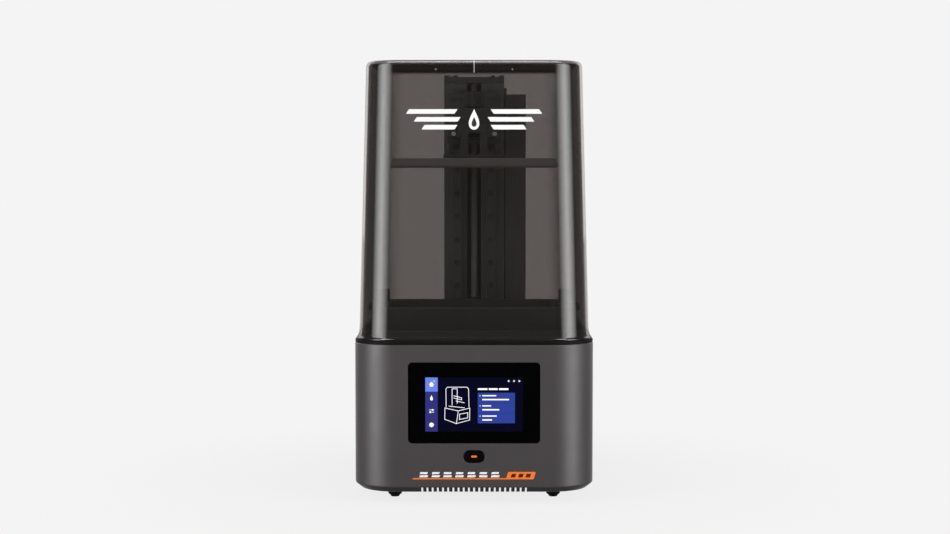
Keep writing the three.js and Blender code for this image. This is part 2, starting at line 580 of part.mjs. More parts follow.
function vat(root) {
  const tray = subgroup(root, 0, VAT_Y, 0);
  const { width, depth, wall } = VAT_TANK;
  const cavity = prism(outline(width - 2 * wall, depth - 2 * wall, 8, 4), VAT.bottom - 2, VAT.top + 5);
  const tank = prism(outline(width, depth, 11, 4), VAT.bottom, VAT.top);
  const skirt = cut(
    prism(outline(VAT.width, VAT.depth, 20, 6), 162, VAT.top),
    prism(outline(VAT.width - 5, VAT.depth - 5, 17.5, 6), 161, VAT.floor),
  );
  const lips = [-1, 1].map((side) => gripLip(side));
  const screwHoles = [-1, 1].map((side) => rod(2.6, 180, 192, side * VAT_SCREW_X, 0, 12));
  add(tray, "vat_body", cut(join(tank, skirt, ...lips), cavity, ...screwHoles), blackMetal);
  const frame = cut(
    prism(outline(width, depth, 11, 4), 160.2, VAT.bottom - 0.1),
    prism(outline(width - 10, depth - 10, 6, 4), 159, VAT.bottom + 1),
  );
  add(tray, "film_frame", frame, aluminium);
  add(tray, "release_film", prism(outline(width - 2, depth - 2, 10, 4), 159.7, 160), clear);
  ["left", "right"].forEach((side, i) => {
    const grip = join(lobed(8, 14, 0.9, 1.2, 15.4), rod(6, 0.3, 1.4, 0, 0, 16), rod(2, -15, 1, 0, 0, 12));
    add(tray, `${side}_vat_screw`, grip, steel, [(2 * i - 1) * VAT_SCREW_X, 0, VAT.top]);
  });
}

// ---------------------------------------------------------------- cover

/** A ring of the cover's side: half its width there, brought in by `inset`. */
function coverRing(z, half, radius, inset = 0) {
  const width = 2 * (half - inset);
  return { points: outline(width, width + 2 * COVER_DEEPER, radius - inset, 8), z };
}

/** Rings up the cover's side and over the rounded edge of its roof. */
function coverSide(inset, roofZ) {
  const edge = roofZ - COVER_HIGH.z;
  const rings = [coverRing(COVER_LOW.z, COVER_LOW.half, COVER_LOW.radius, inset)];
  [0, 0.25, 0.5, 0.75, 1].forEach((share) => {
    const angle = (share * Math.PI) / 2;
    const drawnIn = inset + edge * (1 - Math.cos(angle));
    rings.push(coverRing(COVER_HIGH.z + edge * Math.sin(angle), COVER_HIGH.half, COVER_HIGH.radius, drawnIn));
  });
  return rings;
}

function coverHood() {
  const flare = [[0, 0], [1.6, 0], [2.4, 1.6], [4.2, 2.9], [7, 3.8]].map(([rise, drawnIn]) =>
    coverRing(COVER_BOTTOM + rise, COVER_FOOT - drawnIn, BASE_RADIUS - 0.2 - drawnIn * 0.6),
  );
  const outside = loft([...flare, ...coverSide(0, HEIGHT)]);
  const lowInside = coverRing(COVER_BOTTOM - 1, COVER_LOW.half, COVER_LOW.radius, COVER_WALL);
  const inside = loft([lowInside, ...coverSide(COVER_WALL, HEIGHT - 3)]);
  return cut(outside, inside);
}

// ---------------------------------------------------------------- assembly

function resinPrinter() {
  const printer = new THREE.Group();
  add(printer, "base_shell", baseShell(), greyShell);
  add(printer, "bottom_plate", bottomPlate(), blackMetal, [0, 0, 13]);
  add(printer, "top_deck", topDeck(), blackMetal);
  add(printer, "cover_gasket", coverGasket(), rubber, [0, 0, DECK_TOP + 0.1]);
  const corners = [
    ["front_left", -1, -1],
    ["front_right", 1, -1],
    ["rear_left", -1, 1],
    ["rear_right", 1, 1],
  ];
  corners.forEach(([corner, sideX, sideY]) => {
    add(printer, `${corner}_foot`, foot(), rubber, [sideX * FOOT.x, sideY * FOOT.y, 0]);
  });
  touchPanel(printer);
  powerButton(printer);
  powerEntry(printer);
  usbPort(printer);
  lightEngine(printer);
  electronics(printer);
  exposureScreen(printer);
  column(printer);
  screw(printer);
  const ride = carriage(printer);
  arm(ride);
  platform(ride);
  vat(printer);
  add(printer, "tinted_cover", coverHood(), tinted);
  return printer;
}

export default resinPrinter();
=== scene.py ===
"""The looks of a desktop resin printer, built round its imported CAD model.

Shapes are made in millimetres in the CAD model's frame (+Z up, the front facing -Y, the floor at z = 0),
and piece() turns them into metres. Where a piece goes comes from the CAD node that it stands for.
"""

import math

import bmesh
import bpy
from mathutils import Matrix, Vector


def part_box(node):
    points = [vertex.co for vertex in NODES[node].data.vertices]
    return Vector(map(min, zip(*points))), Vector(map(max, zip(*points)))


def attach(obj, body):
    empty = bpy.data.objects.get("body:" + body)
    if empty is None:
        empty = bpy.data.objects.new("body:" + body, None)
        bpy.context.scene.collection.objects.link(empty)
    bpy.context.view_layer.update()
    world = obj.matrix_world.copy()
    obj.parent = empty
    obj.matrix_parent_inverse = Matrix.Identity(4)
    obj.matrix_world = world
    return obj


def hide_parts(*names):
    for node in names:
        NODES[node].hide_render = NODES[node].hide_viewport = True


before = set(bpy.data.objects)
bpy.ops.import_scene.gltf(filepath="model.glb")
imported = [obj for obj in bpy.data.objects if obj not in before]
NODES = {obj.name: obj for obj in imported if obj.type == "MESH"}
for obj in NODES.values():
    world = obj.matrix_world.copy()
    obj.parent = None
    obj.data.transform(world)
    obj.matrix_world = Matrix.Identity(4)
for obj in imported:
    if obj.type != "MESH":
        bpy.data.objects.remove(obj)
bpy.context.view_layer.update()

MM = 0.001


def box(node):
    """A CAD node's lowest and highest corners, in millimetres."""
    low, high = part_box(node)
    return low / MM, high / MM


def middle(node):
    low, high = box(node)
    return (low + high) / 2


def size(node):
    """A CAD node's width, depth and height, in millimetres."""
    low, high = box(node)
    return [most - least for least, most in zip(low, high)]


def reach(node, z):
    """How far a CAD node reaches in +X at the height of one of its rings of corners."""
    return max(v.co.x / MM for v in NODES[node].data.vertices if abs(v.co.z / MM - z) < 0.05)


# ---------------------------------------------------------------- sizes

BASE_LOW, BASE_HIGH = box("base_shell")
FRONT, BACK = BASE_LOW.y, BASE_HIGH.y
BASE_WIDTH, BASE_DEPTH, _ = size("base_shell")
BASE_RADIUS = 42
BASE_WALL = 3
CHAMFER = (6.8, 5.4)  # how far the base's bottom edge is drawn in, and how high

COVER_LOW, COVER_HIGH = box("tinted_cover")
COVER_WALL = 2.8
FLARE_TOP = 170  # where the cover's foot has run out
ROOF_EDGE = 426  # where the cover's side turns into its roof
LOW_HALF, LOW_RADIUS = reach("tinted_cover", FLARE_TOP), 39
HIGH_HALF, HIGH_RADIUS = reach("tinted_cover", ROOF_EDGE), 37
COVER_LEAN = (LOW_HALF - HIGH_HALF) / (ROOF_EDGE - FLARE_TOP)

BUTTON = (20.6, 11.8)  # the power button's face
DISPLAY = {"width": 95, "height": 53, "drop": 1.6}  # the lit area, and how far it lies under the middle

VAT_Y = middle("vat_body").y
VAT_RIM = 188  # the height of the vat's top edge
SCREW_Y = middle("lead_screw").y
ARM_LOW, ARM_HIGH = box("cantilever_arm")


# ---------------------------------------------------------------- outlines

def rounded(width, depth, radius, steps=14):
    """The corners of a rounded rectangle about the origin, anticlockwise."""
    points = []
    for quarter, (side_x, side_y) in enumerate(((1, 1), (-1, 1), (-1, -1), (1, -1))):
        for step in range(steps + 1):
            angle = math.radians(90 * (quarter + step / steps))
            x = side_x * (width / 2 - radius) + radius * math.cos(angle)
            y = side_y * (depth / 2 - radius) + radius * math.sin(angle)
            points.append((x, y))
    return points


def insets(width, depth, radius, steps=14):
    """A rounded rectangle as a function of how far it is drawn in all round."""
    return lambda inset: rounded(width - 2 * inset, depth - 2 * inset, radius - inset, steps)


def ring_of(radius_at, count=48):
    """Points all round the origin, each as far away as radius_at(angle) says."""
    angles = [2 * math.pi * i / count for i in range(count)]
    return [(radius_at(a) * math.cos(a), radius_at(a) * math.sin(a)) for a in angles]


def lobed(radius, lobes=0, groove=0.0, count=48):
    """A circle, with lobes round it if there are any."""
    return ring_of(lambda angle: radius - groove * (1 - math.cos(lobes * angle)) / 2, count)


def hexagon(across):
    """A hexagon that measures `across` over its flats, with as many corners as a circle has."""
    return ring_of(lambda angle: across / 2 / math.cos(angle % (math.pi / 3) - math.pi / 6))


def softened(path, radius, steps=4, loop=True):
    """The same path with its corners rounded."""
    points = [Vector(p) for p in path]
    result = []
    for i, corner in enumerate(points):
        if not loop and i in (0, len(points) - 1):
            result.append(corner)
            continue
        before = points[i - 1] - corner
        after = points[(i + 1) % len(points)] - corner
        start = corner + before * min(radius / before.length, 0.49)
        end = corner + after * min(radius / after.length, 0.49)
        for step in range(steps + 1):
            t = step / steps
            result.append((1 - t) ** 2 * start + 2 * t * (1 - t) * corner + t * t * end)
    return result


# ---------------------------------------------------------------- shapes

def flat(points, z, x=0, y=0):
    return [(px + x, py + y, z) for px, py in points]


def upright(points, y, x=0, z=0):
    return [(px + x, y, pz + z) for px, pz in points]


def skin(rings, loop=False):
    """A skin over a stack of rings with as many corners each: a loop of rings, or one closed by end caps."""
    shape = bmesh.new()
    rows = [[shape.verts.new(point) for point in ring] for ring in rings]
    pairs = list(zip(rows, rows[1:]))
    if loop:
        pairs.append((rows[-1], rows[0]))
    else:
        shape.faces.new(rows[0])
        shape.faces.new(rows[-1])
    for low, high in pairs:
        for i, here in enumerate(low):
            shape.faces.new((here, low[i - 1], high[i - 1], high[i]))
    bmesh.ops.remove_doubles(shape, verts=shape.verts, dist=1e-4)
    bmesh.ops.recalc_face_normals(shape, faces=shape.faces)
    return shape


def slab(outline, start, end, edge, put=flat, at=(0, 0), steps=3):
    """A plate from start to end with rounded rims. outline(inset) is its shape, drawn in by inset."""
    rims = []
    for level, inward in ((start, 1), (end, -1)):
        rim = []
        for step in range(steps + 1):
            angle = math.radians(90 * step / steps)
            depth = level + inward * edge * (1 - math.cos(angle))
            rim.append(put(outline(edge * (1 - math.sin(angle))), depth, *at))
        rims.append(rim)
    return skin(rims[0] + rims[1][::-1])


def swept(profile, outline):
    """A ring whose section is a loop of (inset, z) pairs."""
    return skin([flat(outline(inset), z) for inset, z in profile], loop=True)


def turned(profile, at=(0, 0), loop=False, count=48):
    """A solid turned about Z from (radius, z) pairs."""
    return skin([flat(lobed(radius, count=count), z, *at) for radius, z in profile], loop)


def block(x, y, z):
    """A plain block between two values on each axis, for cutting and for flat printed marks."""
    corners = [(x[0], y[0]), (x[1], y[0]), (x[1], y[1]), (x[0], y[1])]
    return skin([flat(corners, z[0]), flat(corners, z[1])])


def merged(*shapes):
    """Several shapes as one."""
    whole = bmesh.new()
    for shape in shapes:
        mesh = bpy.data.meshes.new("part")
        shape.to_mesh(mesh)
        shape.free()
        whole.from_mesh(mesh)
        bpy.data.meshes.remove(mesh)
    return whole


def aimed(shape, at, toward=(0, 0, 1)):
    """A shape made along +Z on the origin, turned to point another way and put in its place."""
    turn = Vector((0, 0, 1)).rotation_difference(Vector(toward)).to_matrix().to_4x4()
    shape.transform(Matrix.Translation(Vector(at)) @ turn)
    return shape


def placed(name, shape):
    """An object in the scene, made from a shape."""
    mesh = bpy.data.meshes.new(name)
    shape.to_mesh(mesh)
    shape.free()
    made = bpy.data.objects.new(name, mesh)
    bpy.context.scene.collection.objects.link(made)
    return made


def carved(shape, *tools, operation="DIFFERENCE"):
    """A shape with others cut out of it or joined to it."""
    target = placed("part", shape)
    tool = placed("part", merged(*tools))
    modifier = target.modifiers.new("carve", "BOOLEAN")
    modifier.solver = "EXACT"
    modifier.operation = operation
    modifier.object = tool
    evaluated = target.evaluated_get(bpy.context.evaluated_depsgraph_get())
    result = bmesh.new()
    result.from_mesh(evaluated.to_mesh())
    evaluated.to_mesh_clear()
    for part in (target, tool):
        mesh = part.data
        bpy.data.objects.remove(part)
        bpy.data.meshes.remove(mesh)
    return result


def opening(outline, surface, depth, flare, at):
    """A cutter for a hole with a rounded mouth in a wall facing along Y. A depth below 0 goes towards -Y."""
    inward = math.copysign(1, depth)
    rings = [upright(outline(-flare), surface - inward, *at)]
    for step in range(5):
        angle = math.radians(90 * (1 - step / 4))
        level = surface + inward * flare * (1 - math.sin(angle))
        rings.append(upright(outline(-flare * (1 - math.cos(angle))), level, *at))
    rings.append(upright(outline(0), surface + depth, *at))
    return skin(rings)


def cap_screw(radius, height):
    """A socket-head screw's head, standing on z = 0."""
    edge = radius * 0.14
    return skin([
        flat(lobed(radius), 0),
        flat(lobed(radius), height - edge),
        flat(lobed(radius - edge * 0.3), height - edge * 0.3),
        flat(lobed(radius - edge), height),
        flat(hexagon(radius * 1.05), height),
        flat(hexagon(radius * 0.98), height * 0.4),
    ])


def piece(name, shape, finish, body, stands_for=(), crease=28):
    """Adds a shape as a piece of the printer, riding on a CAD body."""
    shape.transform(Matrix.Scale(MM, 4))
    made = placed(name, shape)
    made.data.materials.append(finish)
    made.data.shade_smooth()
    made.data.set_sharp_from_angle(angle=math.radians(crease))
    even = made.modifiers.new("even shading", "WEIGHTED_NORMAL")
    even.keep_sharp = True
    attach(made, body)
    if stands_for:
        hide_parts(*stands_for)
    return made


def screws(name, head, places, toward, body, finish):
    """Socket-head screws as one piece. `head` is each one's (radius, height)."""
    heads = [aimed(cap_screw(*head), place, toward) for place in places]
    piece(name, merged(*heads), finish, body)


# ---------------------------------------------------------------- finishes

def add_node(tree, kind, inputs=(), **settings):
    """Adds a shader node. Each input is a plain value, or the output of another node to link to it."""
    made = tree.nodes.new(kind)
    for key, value in settings.items():
        setattr(made, key, value)
    for key, value in dict(inputs).items():
        if isinstance(value, bpy.types.NodeSocket):
            tree.links.new(value, made.inputs[key])
        else:
            made.inputs[key].default_value = value
    return made


def gradient(tree, amount, stops):
    """The values of a ramp with (position, value) stops, as amount goes along it."""
    ramp = add_node(tree, "ShaderNodeValToRGB", {0: amount})
    elements = ramp.color_ramp.elements
    elements[0].position = stops[0][0]
    elements[1].position = stops[-1][0]
    for position, _ in stops[1:-1]:
        elements.new(position)
    for element, (_, value) in zip(elements, stops):
        element.color = (value, value, value, 1)
    return ramp.outputs[0]


class Finish:
    """A material in the making: a Principled surface, and short ways to give it detail."""

    def __init__(self, name, color, roughness, metallic=0.0, specular=0.5, coat=0.0):
        self.material = bpy.data.materials.new(name)
        self.material.use_nodes = True
        self.tree = self.material.node_tree
        self.surface = self.tree.nodes["Principled BSDF"]
        self.color = color
        for key, value in (("Base Color", (*color, 1)), ("Roughness", roughness), ("Metallic", metallic),
                           ("Specular IOR Level", specular), ("Coat Weight", coat)):
            self.surface.inputs[key].default_value = value
        self.where = self.tree.nodes.new("ShaderNodeTexCoord").outputs["Object"]

    def node(self, kind, inputs=(), **settings):
        return add_node(self.tree, kind, inputs, **settings)

    def noise(self, across, stretch=(1, 1, 1), detail=2.0):
        """Noise from 0 to 1 whose blotches are about `across` millimetres wide, and drawn out by stretch."""
        scale = tuple(1 / s for s in stretch)
        places = self.node("ShaderNodeMapping", {"Vector": self.where, "Scale": scale}).outputs[0]
        inputs = {"Vector": places, "Scale": 1 / (across * MM), "Detail": detail}
        return self.node("ShaderNodeTexNoise", inputs).outputs[0]

    def waves(self, spacing, axis="Z"):
        """Bands `spacing` millimetres apart along an axis."""
        scale = 1 / (spacing * MM) * math.pi / 10  # a wave's scale counts tenths of pi
        inputs = {"Vector": self.where, "Scale": scale}
        return self.node("ShaderNodeTexWave", inputs, bands_direction=axis).outputs["Fac"]

    def between(self, amount, low, high, start=0.3, end=0.7):
        """A number from low to high as amount goes from start to end."""
        inputs = {"Value": amount, "From Min": start, "From Max": end, "To Min": low, "To Max": high}
        return self.node("ShaderNodeMapRange", inputs).outputs[0]

    def tones(self, amount, low, high, start=0.3, end=0.7):
        """Varies the colour between low and high times its plain value."""
        share = self.between(amount, 0, 1, start, end)
        dark, light = ((*(c * level for c in self.color), 1) for level in (low, high))
        mix = self.node("ShaderNodeMix", {"Factor": share, 6: dark, 7: light}, data_type="RGBA")
        self.tree.links.new(mix.outputs[2], self.surface.inputs["Base Color"])
        return self

    def sheen_between(self, amount, low, high):
        """Varies the roughness from low to high."""
        self.tree.links.new(self.between(amount, low, high), self.surface.inputs["Roughness"])
        return self

    def worn(self, tones, sheen, grain=None, stretch=(1, 1, 1), detail=(2, 2)):
        """The material, with noise in its colour, its roughness and its height.

        tones and sheen are (how wide the blotches are, low, high), and grain is (how wide, how deep).
        stretch and detail are for the noise of the tones and of the grain.
        """
        self.tones(self.noise(tones[0], stretch, detail[0]), *tones[1:])
        self.sheen_between(self.noise(sheen[0]), *sheen[1:])
        if grain:
            self.bump(self.noise(grain[0], stretch, detail[1]), grain[1])
        return self.material

    def bump(self, height, depth):
        """Raises the surface by height times depth millimetres."""
        bumped = self.node("ShaderNodeBump", {"Height": height, "Distance": depth * MM, "Strength": 1.0})
        normal = self.surface.inputs["Normal"]
        if normal.is_linked:
            self.tree.links.new(normal.links[0].from_socket, bumped.inputs["Normal"])
        self.tree.links.new(bumped.outputs[0], normal)
        return self


def grey_paint():
    """The base's satin powder paint: a fine grain, and faint cloudiness."""
    f = Finish("grey_paint", (0.052, 0.0465, 0.0475), 0.42, metallic=0.2)
    return f.worn((0.5, 0.86, 1.16), (24, 0.4, 0.46), (0.35, 0.012), detail=(1, 1))


def black_plastic():
    f = Finish("black_plastic", (0.014, 0.014, 0.014), 0.5)
    return f.worn((9, 0.85, 1.15), (6, 0.46, 0.56), (0.4, 0.02), detail=(2, 1))


def gloss_black():
    f = Finish("gloss_black", (0.002, 0.002, 0.002), 0.15, specular=0.12)
    return f.worn((5, 0.8, 1.2), (3, 0.1, 0.15))


def deck_black():
    """The deck's dead-black texture coat."""
    f = Finish("deck_black", (0.003, 0.003, 0.0032), 0.6, specular=0.1)
    return f.worn((4, 0.8, 1.3), (2, 0.5, 0.7), (0.5, 0.03))


def anodised(name, tone):
    """Black anodised aluminium, with the faint upright lines of its extrusion."""
    f = Finish(name, (tone, tone, tone * 0.985), 0.42, metallic=0.4)
    drawn = f.noise(0.7, stretch=(1, 1, 60))
    f.tones(drawn, 0.82, 1.2)
    f.sheen_between(f.noise(5, stretch=(1, 1, 8)), 0.38, 0.48)
    return f.bump(drawn, 0.01).material


def blasted():
    """Bead-blasted and anodised black, for machined blocks and the build plate."""
    f = Finish("blasted_black", (0.046, 0.046, 0.0455), 0.5, metallic=0.4)
    return f.worn((0.6, 0.85, 1.18), (12, 0.46, 0.55), (0.3, 0.02), detail=(1, 1))


def laser_etched():
    """The build plate: blasted sides, and a lattice of fine grooves that the first layer grips."""
    f = Finish("laser_etched", (0.12, 0.117, 0.112), 0.5, metallic=0.4)
    f.tones(f.noise(0.6, detail=1), 0.85, 1.15)
    for axis in ("X", "Y"):
        groove = f.between(f.waves(2.4, axis), 0, 1, 0.0, 0.18)
        f.bump(groove, 0.05)
    return f.bump(f.noise(0.3, detail=1), 0.02).material


def bare_aluminium():
    f = Finish("bare_aluminium", (0.52, 0.525, 0.53), 0.32, metallic=1)
    return f.worn((0.5, 0.88, 1.08), (4, 0.27, 0.38), (0.5, 0.006), stretch=(30, 1, 1))


def dark_sheet():
    f = Finish("dark_sheet", (0.03, 0.03, 0.031), 0.45, metallic=0.6)
    return f.worn((0.8, 0.85, 1.15), (15, 0.4, 0.5), (0.6, 0.015))


def steel():
    f = Finish("ground_steel", (0.5, 0.5, 0.505), 0.24, metallic=1)
    return f.worn((0.3, 0.86, 1.1), (3, 0.2, 0.3), (0.3, 0.004), stretch=(1, 1, 25))


def dark_steel():
    """Black-oxide steel, still a little shiny."""
    f = Finish("dark_steel", (0.062, 0.062, 0.0625), 0.38, metallic=0.35)
    return f.worn((0.4, 0.85, 1.2), (4, 0.32, 0.42), (0.4, 0.005), stretch=(1, 1, 20))


def thread_steel_painted_highlight():
    """The rolled thread, its colour painted pale and hardly metallic: a painted highlight standing in for the
    glints that the lamps can't put on it down in the column's slot. It stays a little oily.
    """
    f = Finish("thread_steel_painted_highlight", (0.82, 0.82, 0.82), 0.34, metallic=0.12)
    return f.worn((0.8, 0.85, 1.1), (2, 0.28, 0.4), (0.3, 0.004))


def zinc():
    """Zinc plating on the small screws."""
    f = Finish("zinc", (0.62, 0.62, 0.6), 0.42, metallic=0.85)
    return f.worn((1.2, 0.85, 1.1), (0.8, 0.38, 0.5), (0.5, 0.005))


def brass():
    f = Finish("brass", (0.5, 0.34, 0.12), 0.3, metallic=1)
    return f.worn((2, 0.85, 1.1), (3, 0.26, 0.36), (0.4, 0.006))


def rubber():
    f = Finish("rubber", (0.003, 0.003, 0.003), 0.7, specular=0.15)
    return f.worn((3, 0.8, 1.3), (2, 0.72, 0.86), (0.5, 0.04))


def circuit_board():
    """Green solder mask over a maze of raised copper."""
    f = Finish("circuit_board", (0.012, 0.07, 0.03), 0.38, coat=0.3)
    cells = f.node("ShaderNodeTexVoronoi", {"Vector": f.where, "Scale": 220.0}, distance="MANHATTAN")
    copper = f.between(cells.outputs["Distance"], 0, 1, 0.28, 0.32)
    f.tones(copper, 0.8, 1.6, 0, 1)
    f.sheen_between(f.noise(8), 0.32, 0.44)
    return f.bump(copper, 0.03).material


def motor_lacquer():
    f = Finish("motor_lacquer", (0.015, 0.015, 0.016), 0.3, metallic=0.2)
    f.tones(f.noise(5), 0.85, 1.2)
    return f.bump(f.waves(0.6), 0.01).material


def screen_glass():
    """The exposure screen's polariser: nearly black, with a slight violet cast."""
    f = Finish("exposure_glass", (0.008, 0.007, 0.012), 0.08)
    return f.worn((30, 0.8, 1.3), (10, 0.06, 0.11))


def ink(name, color, roughness=0.45, specular=0.5):
    """Printed marks, with a little of the print screen's grain."""
    f = Finish(name, color, roughness, specular=specular)
    f.tones(f.noise(0.6, detail=1), 0.93, 1.04)
    return f.bump(f.noise(0.3, detail=1), 0.006).material


def lit(name, color, strength=1.0):
    """A lit part of the display or a lamp, with the faint rows of its picture cells."""
    f = Finish(name, tuple(c * 0.05 for c in color), 0.3)
    rows = f.between(f.waves(0.35), 0.9, 1.04, 0, 1)
    inputs = {"Factor": 1, 6: (*color, 1), 7: rows}
    shade = f.node("ShaderNodeMix", inputs, data_type="RGBA", blend_type="MULTIPLY")
    f.tree.links.new(shade.outputs[2], f.surface.inputs["Emission Color"])
    f.surface.inputs["Emission Strength"].default_value = strength
    return f.material


def see_through(name, tint, dark, roughness, ior, shares, specular=0.5):
    """A clear sheet. `shares` are stops of (how edge-on it is seen, the share of its own dark surface
    that shows); what is left lets through what lies behind, tinted."""
    f = Finish(name, dark, roughness, specular=specular)
    f.tones(f.noise(12), 0.96, 1.04)
    f.surface.inputs["IOR"].default_value = ior
    clear = f.node("ShaderNodeBsdfTransparent", {"Color": (*tint, 1)})
    edge_on = f.node("ShaderNodeLayerWeight", {"Blend": 0.5}).outputs["Facing"]
    share = gradient(f.tree, edge_on, shares)
    mix = f.node("ShaderNodeMixShader", {0: share, 1: clear.outputs[0], 2: f.surface.outputs[0]})
    f.tree.links.new(mix.outputs[0], f.tree.nodes["Material Output"].inputs["Surface"])
    return f.material


GREY = grey_paint()
BLACK = black_plastic()
GLOSS = gloss_black()
DECK_BLACK = deck_black()
# painted light: the column's copy of the anodising is made lighter (0.1 against 0.068 for the cap, duct and
# carriage) to make up for the dimmer light that reaches the column
ANODISED = anodised("column_anodised_painted_lighter", 0.1)
SATIN_ANODISED = anodised("satin_anodised", 0.068)
BLASTED = blasted()
ETCHED = laser_etched()
ALUMINIUM = bare_aluminium()
SHEET = dark_sheet()
STEEL = steel()
DARK_STEEL = dark_steel()
THREAD_PAINTED_HIGHLIGHT = thread_steel_painted_highlight()
ZINC = zinc()
BRASS = brass()
RUBBER = rubber()
BOARD = circuit_board()
MOTOR = motor_lacquer()
LCD = screen_glass()
SMOKE = (0.918, 0.888, 0.875)
SMOKE_DARK = (0.006, 0.0055, 0.005)
ACRYLIC = see_through("smoky_acrylic", SMOKE, SMOKE_DARK, 0.05, 1.75, (
    (0.0, 0.37), (0.015, 0.375), (0.06, 0.46), (0.2, 0.6), (0.42, 0.76), (0.55, 0.8), (0.63, 0.6),
    (0.72, 0.45), (0.85, 0.35), (1.0, 0.35)))
ROOF_ACRYLIC = see_through("smoky_acrylic_roof", SMOKE, SMOKE_DARK, 0.2, 1.05, (
    (0.0, 0.4), (0.3, 0.42), (0.7, 0.7), (0.88, 0.95), (1.0, 0.97)), specular=0)
PANEL_GLASS = see_through("panel_glass", (0.96, 0.96, 0.97), (0.001, 0.001, 0.001), 0.06, 1.3,
                          ((0, 0.14), (0.2, 0.16), (1, 0.6)))
FILM = see_through("release_film", (0.95, 0.97, 0.98), (0.4, 0.42, 0.43), 0.1, 1.4,
                   ((0, 0.12), (0.3, 0.15), (1, 0.6)))
LENS = see_through("lens_acrylic", (0.93, 0.95, 0.97), (0.3, 0.32, 0.34), 0.06, 1.5,
                   ((0, 0.15), (0.3, 0.2), (1, 0.6)))
WHITE_INK = ink("white_ink", (0.72, 0.72, 0.72))
ORANGE_INK = ink("orange_ink", (0.8, 0.15, 0.01))
DARK_INK = ink("dark_ink", (0.02, 0.012, 0.008))
MASK_INK = ink("mask_ink", (0.001, 0.001, 0.001), 0.4, 0.05)
LAMP = lit("orange_lamp", (1.0, 0.24, 0.01), 0.85)


# ---------------------------------------------------------------- casing

base_outline = insets(BASE_WIDTH, BASE_DEPTH, BASE_RADIUS, 24)


def front_vents():
    """The slots under the front's bottom edge."""
    count, pitch, width, top, depth = 21, 5.06, 1.8, 15.8, 11
    height = top - BASE_LOW.z + 3
    return [
        opening(lambda inset: rounded(width - inset, height - inset, 0.5, 4), FRONT, depth, 0.3,
                ((i - (count - 1) / 2) * pitch, top - height / 2))
        for i in range(count)
    ]


def exhaust_slots():
    """A round field of slots in the back wall, in front of the exhaust fan."""
    fan = middle("exhaust_fan_rotor")
    radius, pitch, width, depth = 26, 5.2, 2.8, 5
    slots = []
    for i in range(-4, 5):
        length = 2 * math.sqrt(radius ** 2 - (i * pitch) ** 2)
        slots.append(opening(insets(width, length, width / 2, 6), BACK, -depth, 0.4,
                             (fan.x + i * pitch, fan.z)))
    return slots


def faced(node, depth):
    """The level of the wall that a cut goes into, and the place across it of a CAD node's middle."""
    low, high = box(node)
    return FRONT if depth > 0 else BACK, ((low.x + high.x) / 2, (low.z + high.z) / 2)


def seat(node, radius, room, depth, face=None):
    """A cutter for the recess that a CAD node lies in, flush with the front or the back wall."""
    surface, at = faced(node, depth)
    width, height = face or size(node)[::2]
    outline = insets(width + 2 * room, height + 2 * room, radius + room, 10)
    return opening(outline, surface, depth, 0.35, at)


def hole(node, radius, trim, depth):
    """A plain hole behind a seat, `trim` smaller than the CAD node all round."""
    surface, at = faced(node, depth)
    width, _, height = size(node)
    outline = rounded(width - 2 * trim, height - 2 * trim, radius, 6)
    return skin([upright(outline, y, *at) for y in (surface - math.copysign(1, depth), surface + depth)])


def usb_slot():
    low, high = box("usb_shell")
    room = 0.3
    return block((high.x - 9, high.x + 2), (low.y - room, high.y + room), (low.z - room, high.z + room))


def base_casing():
    drawn_in, height = CHAMFER
    low, high = BASE_LOW.z, BASE_HIGH.z
    profile = softened([
        (0, low + height), (0, high), (BASE_WALL, high), (BASE_WALL, low + height),
        (drawn_in + BASE_WALL, low), (drawn_in, low),
    ], 1.4)
    shell = swept(profile, base_outline)
    shell = carved(shell, seat("touch_glass", 4, 0.3, 1.7), seat("power_button", 5.9, 0.4, 9, BUTTON),
                   seat("rocker_housing", 1, 0.3, -1.7), seat("power_jack", 6.5, 0.3, -1.7),
                   usb_slot(), *front_vents(), *exhaust_slots())
    shell = carved(shell, hole("touch_glass", 2, 3.5, 9), hole("rocker_housing", 0.8, 1, -9),
                   hole("power_jack", 5.8, 0.7, -9))
    piece("base_casing", shell, GREY, "base", ["base_shell"])


def deck():
    """The black deck, with the stepped curb that centres the cover."""
    low, high = box("top_deck")
    inset = BASE_WIDTH / 2 - high.x
    top = box("exposure_screen")[0].z - 0.1
    plate = slab(lambda d: base_outline(inset + d), low.z, top, 0.4)
    through = (low.z - 1, top + 1)
    screen_width, screen_depth, _ = size("exposure_screen")
    window = rounded(screen_width - 8, screen_depth - 8, 3)
    plate = carved(
        plate,
        skin([flat(window, z, 0, VAT_Y) for z in through]),
        turned([(12, z) for z in through], (0, SCREW_Y)),
        block((-45, 45), (52, 56), through),
    )
    piece("deck_plate", plate, DECK_BLACK, "base", ["top_deck"])

    gap = 0.8  # between the curb and the cover's wall
    inner = BASE_WIDTH / 2 - LOW_HALF + COVER_WALL + gap
    step, ledge, thick, crest = 1.4, 162, 3.2, 168.5
    section = softened([
        (inner, top), (inner, ledge), (inner + step, ledge), (inner + step, crest),
        (inner + thick, crest), (inner + thick, top),
    ], 0.9)
    curb = swept(section, insets(BASE_WIDTH, BASE_DEPTH, LOW_RADIUS - COVER_WALL + inner, 24))
    piece("deck_curb", curb, BLASTED, "base")
    post = softened([(2.4, high.z - 12), (2.4, high.z), (4, high.z), (4, top), (2.4, top)], 0.5)
    posts = [turned(post, (middle(node).x, VAT_Y), loop=True, count=40)
             for node in ("left_vat_screw", "right_vat_screw")]
    piece("vat_posts", merged(*posts), STEEL, "base")


def gasket():
    low, high = box("cover_gasket")
    outer = BASE_WIDTH / 2 - high.x
    inner = outer + 4.4
    section = softened([(outer, low.z), (outer, high.z), (inner, high.z), (inner, low.z)], 0.35)
    piece("cover_seal", swept(section, base_outline), RUBBER, "base", ["cover_gasket"])


